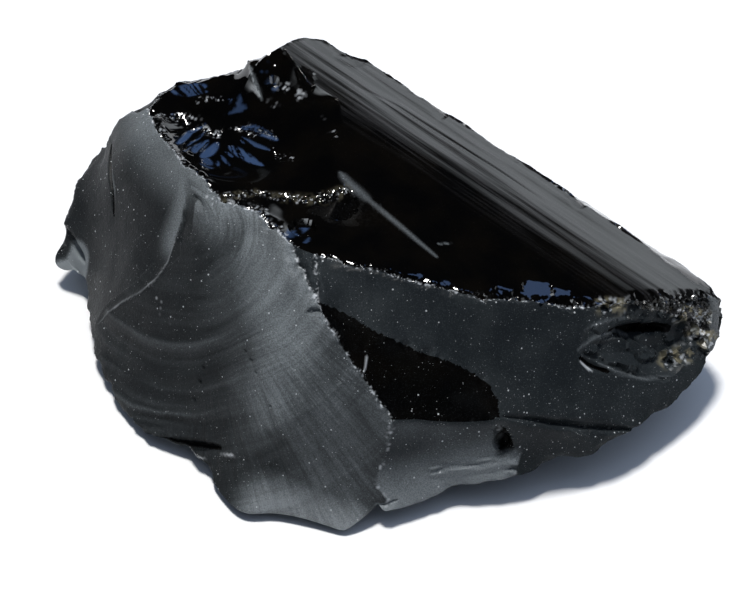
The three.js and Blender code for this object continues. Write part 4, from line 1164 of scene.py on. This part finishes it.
def glass(name, dark, light, rough, level, dust=0.0, grit=0.0, swept=0.0):
    """One finish of the glass.

    Its tone goes from dark to light in clouds, and its roughness between two values in fine grain.
    The rest says how much it mirrors, the share of dust, the depth of the grain, and how strongly
    the lines of the break comb it.
    """
    material = bpy.data.materials.new("obsidian_" + name)
    n = Nodes(material)
    where = n.add("ShaderNodeTexCoord").outputs["Object"]
    clouds = n.noise(where, 160.0, 4.0)
    fine = n.noise(where, 2400.0, 3.0)
    grain = n.noise(where, 5200.0, 2.0)
    lines = n.noise(n.attribute("grain_way", "Vector"), 1.3, 6.0)
    drawn, frosting_and_sheen, white = (n.attribute(layer) for layer in ("drawn", "frost_and_sheen", "pale"))
    colour = n.mix(n.range(clouds, 0.35, 0.7), dark, light)
    flow = n.times(drawn, n.range(lines, 0.42, 0.7))
    colour = n.mix(n.times(flow, 0.5), colour, FLOW_GREY)
    colour = n.mix(n.times(n.range(grain, 0.5, 0.75), dust * 0.2), colour, FROST_AND_SHEEN_GREY)
    # frosting with painted sheen, in fine grain
    frost_and_sheen_grained = n.times(frosting_and_sheen, n.range(grain, 0.3, 0.7, 0.68, 1.28))
    if swept:
        sweep = n.attribute("sweep", "Vector")
        outwards = n.math("SUBTRACT", combed(n, sweep, (1.3, 0.16, 0)), 0.5)
        round_about = n.math("SUBTRACT", combed(n, sweep, (0.035, 2.2, 0)), 0.5)
        combing = n.plus(n.times(outwards, n.attribute("fan")),
                         n.times(round_about, n.attribute("rings")))
        frost_and_sheen_grained = n.times(frost_and_sheen_grained, n.math("MULTIPLY_ADD", combing, swept, 1.0))
    colour = n.mix(n.math("MULTIPLY", frost_and_sheen_grained, 1.0, clamp=True), colour, FROST_AND_SHEEN_GREY)
    colour = n.mix(n.attribute("blue"), colour, PAINTED_SKY_BLUE)
    colour = n.mix(n.attribute("earthy"), colour, EARTH)
    if dust:
        crowd = n.range(clouds, 0.35, 0.65, 0.4, 1.6)
        specks = speck_mask(n, where, 1.0, n.times(crowd, dust))
        for size, strength in ((0.55, 0.55), (0.34, 0.45)):
            smaller = speck_mask(n, where, size, n.times(crowd, dust * 1.3))
            specks = n.math("MAXIMUM", specks, n.times(smaller, strength))
        colour = n.mix(n.times(specks, 0.85), colour, DUST_GREY)
    colour = n.mix(white, colour, PALE_AND_GLINT_GREY)
    rough = n.range(fine, 0.3, 0.7, *rough)
    extra = n.plus(n.times(white, 0.3), n.times(frosting_and_sheen, 0.1), n.times(n.attribute("blue"), 0.15))
    rough = n.math("ADD", rough, n.plus(extra, n.times(flow, 0.12)), clamp=True)
    height = n.plus(n.times(fine, grit), n.times(n.attribute("feathered"), lines),
                    n.times(drawn, lines, 0.3))
    if swept:
        height = n.math("MULTIPLY_ADD", combing, 0.5, height)
    relief = n.add("ShaderNodeBump", {"Height": height, "Strength": 0.6, "Distance": GRAIN_DEPTH})
    shader = n.add("ShaderNodeBsdfPrincipled", {
        "Base Color": colour, "Roughness": rough, "Normal": relief.outputs[0],
    })
    shader.inputs["IOR"].default_value = GLASS_IOR
    shader.inputs["Specular IOR Level"].default_value = level
    n.show(shader)
    return material


BLACK = (0.0009, 0.0009, 0.001, 1)
BROWN_BLACK = (0.0022, 0.0018, 0.0014, 1)
finishes = {
    "polished": glass("polished", BLACK, BROWN_BLACK, (0.05, 0.09), 0.5, grit=0.02),
    "satin": glass("satin", (0.0035, 0.0045, 0.0052, 1), (0.0075, 0.009, 0.0098, 1), (0.36, 0.46),
                   0.09, dust=0.34, grit=0.5, swept=0.4),
    "dull": glass("dull", (0.0095, 0.0122, 0.0142, 1), (0.0175, 0.0212, 0.0232, 1), (0.37, 0.47),
                  0.09, dust=0.5, grit=0.5),
    # deep: painted shade, a black that barely mirrors, for the hollow, cracks and slits
    "deep": glass("deep", BLACK, BROWN_BLACK, (0.3, 0.42), 0.012, dust=0.16, grit=0.1),
    "crust": glass("crust", (0.004, 0.004, 0.0045, 1), (0.03, 0.03, 0.028, 1), (0.15, 0.4), 0.5,
                   grit=0.5),
}
for finish in KINDS:
    chunk.data.materials.append(finishes[finish])
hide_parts(NODE)
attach(chunk, BODY)


# ---------------------------------------------------------------- floor, light and camera

def floor():
    half = 3.0
    mesh = bpy.data.meshes.new("floor")
    mesh.from_pydata([(-half, -half, 0), (half, -half, 0), (half, half, 0), (-half, half, 0)],
                     [], [(0, 1, 2, 3)])
    material = bpy.data.materials.new("pale_floor")
    n = Nodes(material)
    shader = n.add("ShaderNodeBsdfPrincipled")
    shader.inputs["Base Color"].default_value = (0.86, 0.86, 0.86, 1)
    shader.inputs["Roughness"].default_value = 0.9
    shader.inputs["Specular IOR Level"].default_value = 0.1
    n.show(shader)
    mesh.materials.append(material)
    placed("floor", mesh)


WALL_SHINE = 1.6
LEFT_SHINE = 4.6
AHEAD_SHINE = 0.07
DARK_ROOM = 0.004
ROOM_COLOUR = (0.92, 0.99, 1.05, 1)
FILL_COLOUR = (0.62, 0.76, 1.02, 1)
FILL_STRENGTH = 0.35
PAPER_GLOW = 1.5

SUN_ENERGY = 3.45
SUN_WIDTH = 10
SUN_PLACE = (-11, 75)
SUN_COLOUR = (1.0, 0.985, 0.96)

CAMERA_LENS = 146.6
CAMERA_ELEVATION = 50
CAMERA_DISTANCE = 0.46
CAMERA_AIM = (-1.27, -6.5, 17.0)


def direction(azimuth, elevation):
    """Towards a place in the sky: azimuth 0 is behind the chunk, 90 to its right."""
    a, e = math.radians(azimuth), math.radians(elevation)
    return Vector((math.sin(a) * math.cos(e), math.cos(a) * math.cos(e), math.sin(e)))


def sky():
    """What the chunk stands under.

    The glossy faces see a dark room with bright walls low down, the floor and the dull faces get
    a bluish fill, and the camera sees white paper. Bearings are in radians, 0 being behind.
    """
    world = bpy.data.worlds.new("studio")
    bpy.context.scene.world = world
    n = Nodes(world)
    way = n.add("ShaderNodeTexCoord").outputs["Generated"]
    x, y, z = n.add("ShaderNodeSeparateXYZ", {0: way}).outputs
    bearing = n.math("ARCTAN2", x, y)
    wall = n.times(n.range(z, 0.48, 0.28), n.range(bearing, 0.28, 0.4),
                   n.range(bearing, 1.5, 1.1, 0.0, WALL_SHINE), n.range(z, 0.02, 0.25, 0.55, 1.0))
    left = n.times(n.range(z, 0.1, 0.36), n.range(z, 0.8, 0.62),
                   n.range(bearing, -1.45, -1.75, 0.0, LEFT_SHINE))
    ahead = n.times(n.range(z, 0.8, 0.3), n.range(y, 0.1, -0.3, 0.0, AHEAD_SHINE))
    glossy = n.plus(n.plus(wall, left), n.plus(ahead, DARK_ROOM))
    rising = n.times(n.range(z, 0.0, 0.6, 0.1, 1.0), n.range(y, -0.7, 0.3, 0.2, 1.4),
                     n.range(x, -0.8, 0.5, 0.45, 1.7), FILL_STRENGTH)
    reflected, fill, paper = (
        n.add("ShaderNodeBackground", {"Color": colour, "Strength": strength})
        for colour, strength in ((ROOM_COLOUR, glossy), (FILL_COLOUR, rising), ((1, 1, 1, 1), PAPER_GLOW))
    )
    rays = n.add("ShaderNodeLightPath").outputs
    seen = fill
    for ray, shader in (("Is Glossy Ray", reflected), ("Is Camera Ray", paper)):
        seen = n.add("ShaderNodeMixShader", {0: rays[ray], 1: seen.outputs[0], 2: shader.outputs[0]})
    n.show(seen)


def sun():
    data = bpy.data.lights.new("key", "SUN")
    data.energy = SUN_ENERGY
    data.angle = math.radians(SUN_WIDTH)
    data.color = SUN_COLOUR
    placed("key", data).rotation_euler = direction(*SUN_PLACE).to_track_quat("Z", "Y").to_euler()


def soft_box(name, azimuth, elevation, distance, size, radiance, colour):
    """A square of light that only the shine of the glass sees."""
    data = bpy.data.lights.new(name, "AREA")
    data.shape = "SQUARE"
    data.size = size
    data.energy = radiance * math.pi * size * size
    data.color = colour
    obj = placed(name, data)
    toward = direction(azimuth, elevation)
    obj.location = toward * distance + Vector((0, 0, 0.02))
    obj.rotation_euler = toward.to_track_quat("Z", "Y").to_euler()
    obj.visible_camera = False
    obj.visible_diffuse = False


def camera():
    data = bpy.data.cameras.new("camera")
    data.lens = CAMERA_LENS
    data.sensor_width = 36.0
    data.clip_end = 20.0
    obj = placed("camera", data)
    rise = math.radians(CAMERA_ELEVATION)
    away = Vector((0, -math.cos(rise), math.sin(rise)))
    obj.location = Vector(CAMERA_AIM) * MM + away * CAMERA_DISTANCE
    obj.rotation_euler = (math.pi / 2 - rise, 0, 0)
    bpy.context.scene.camera = obj


floor()
sky()
sun()
soft_box("blue_skylight", azimuth=52, elevation=54, distance=1.2, size=0.27, radiance=2.2,
         colour=(0.3, 0.5, 1.0))
camera()
bpy.context.scene.view_settings.view_transform = "Standard"
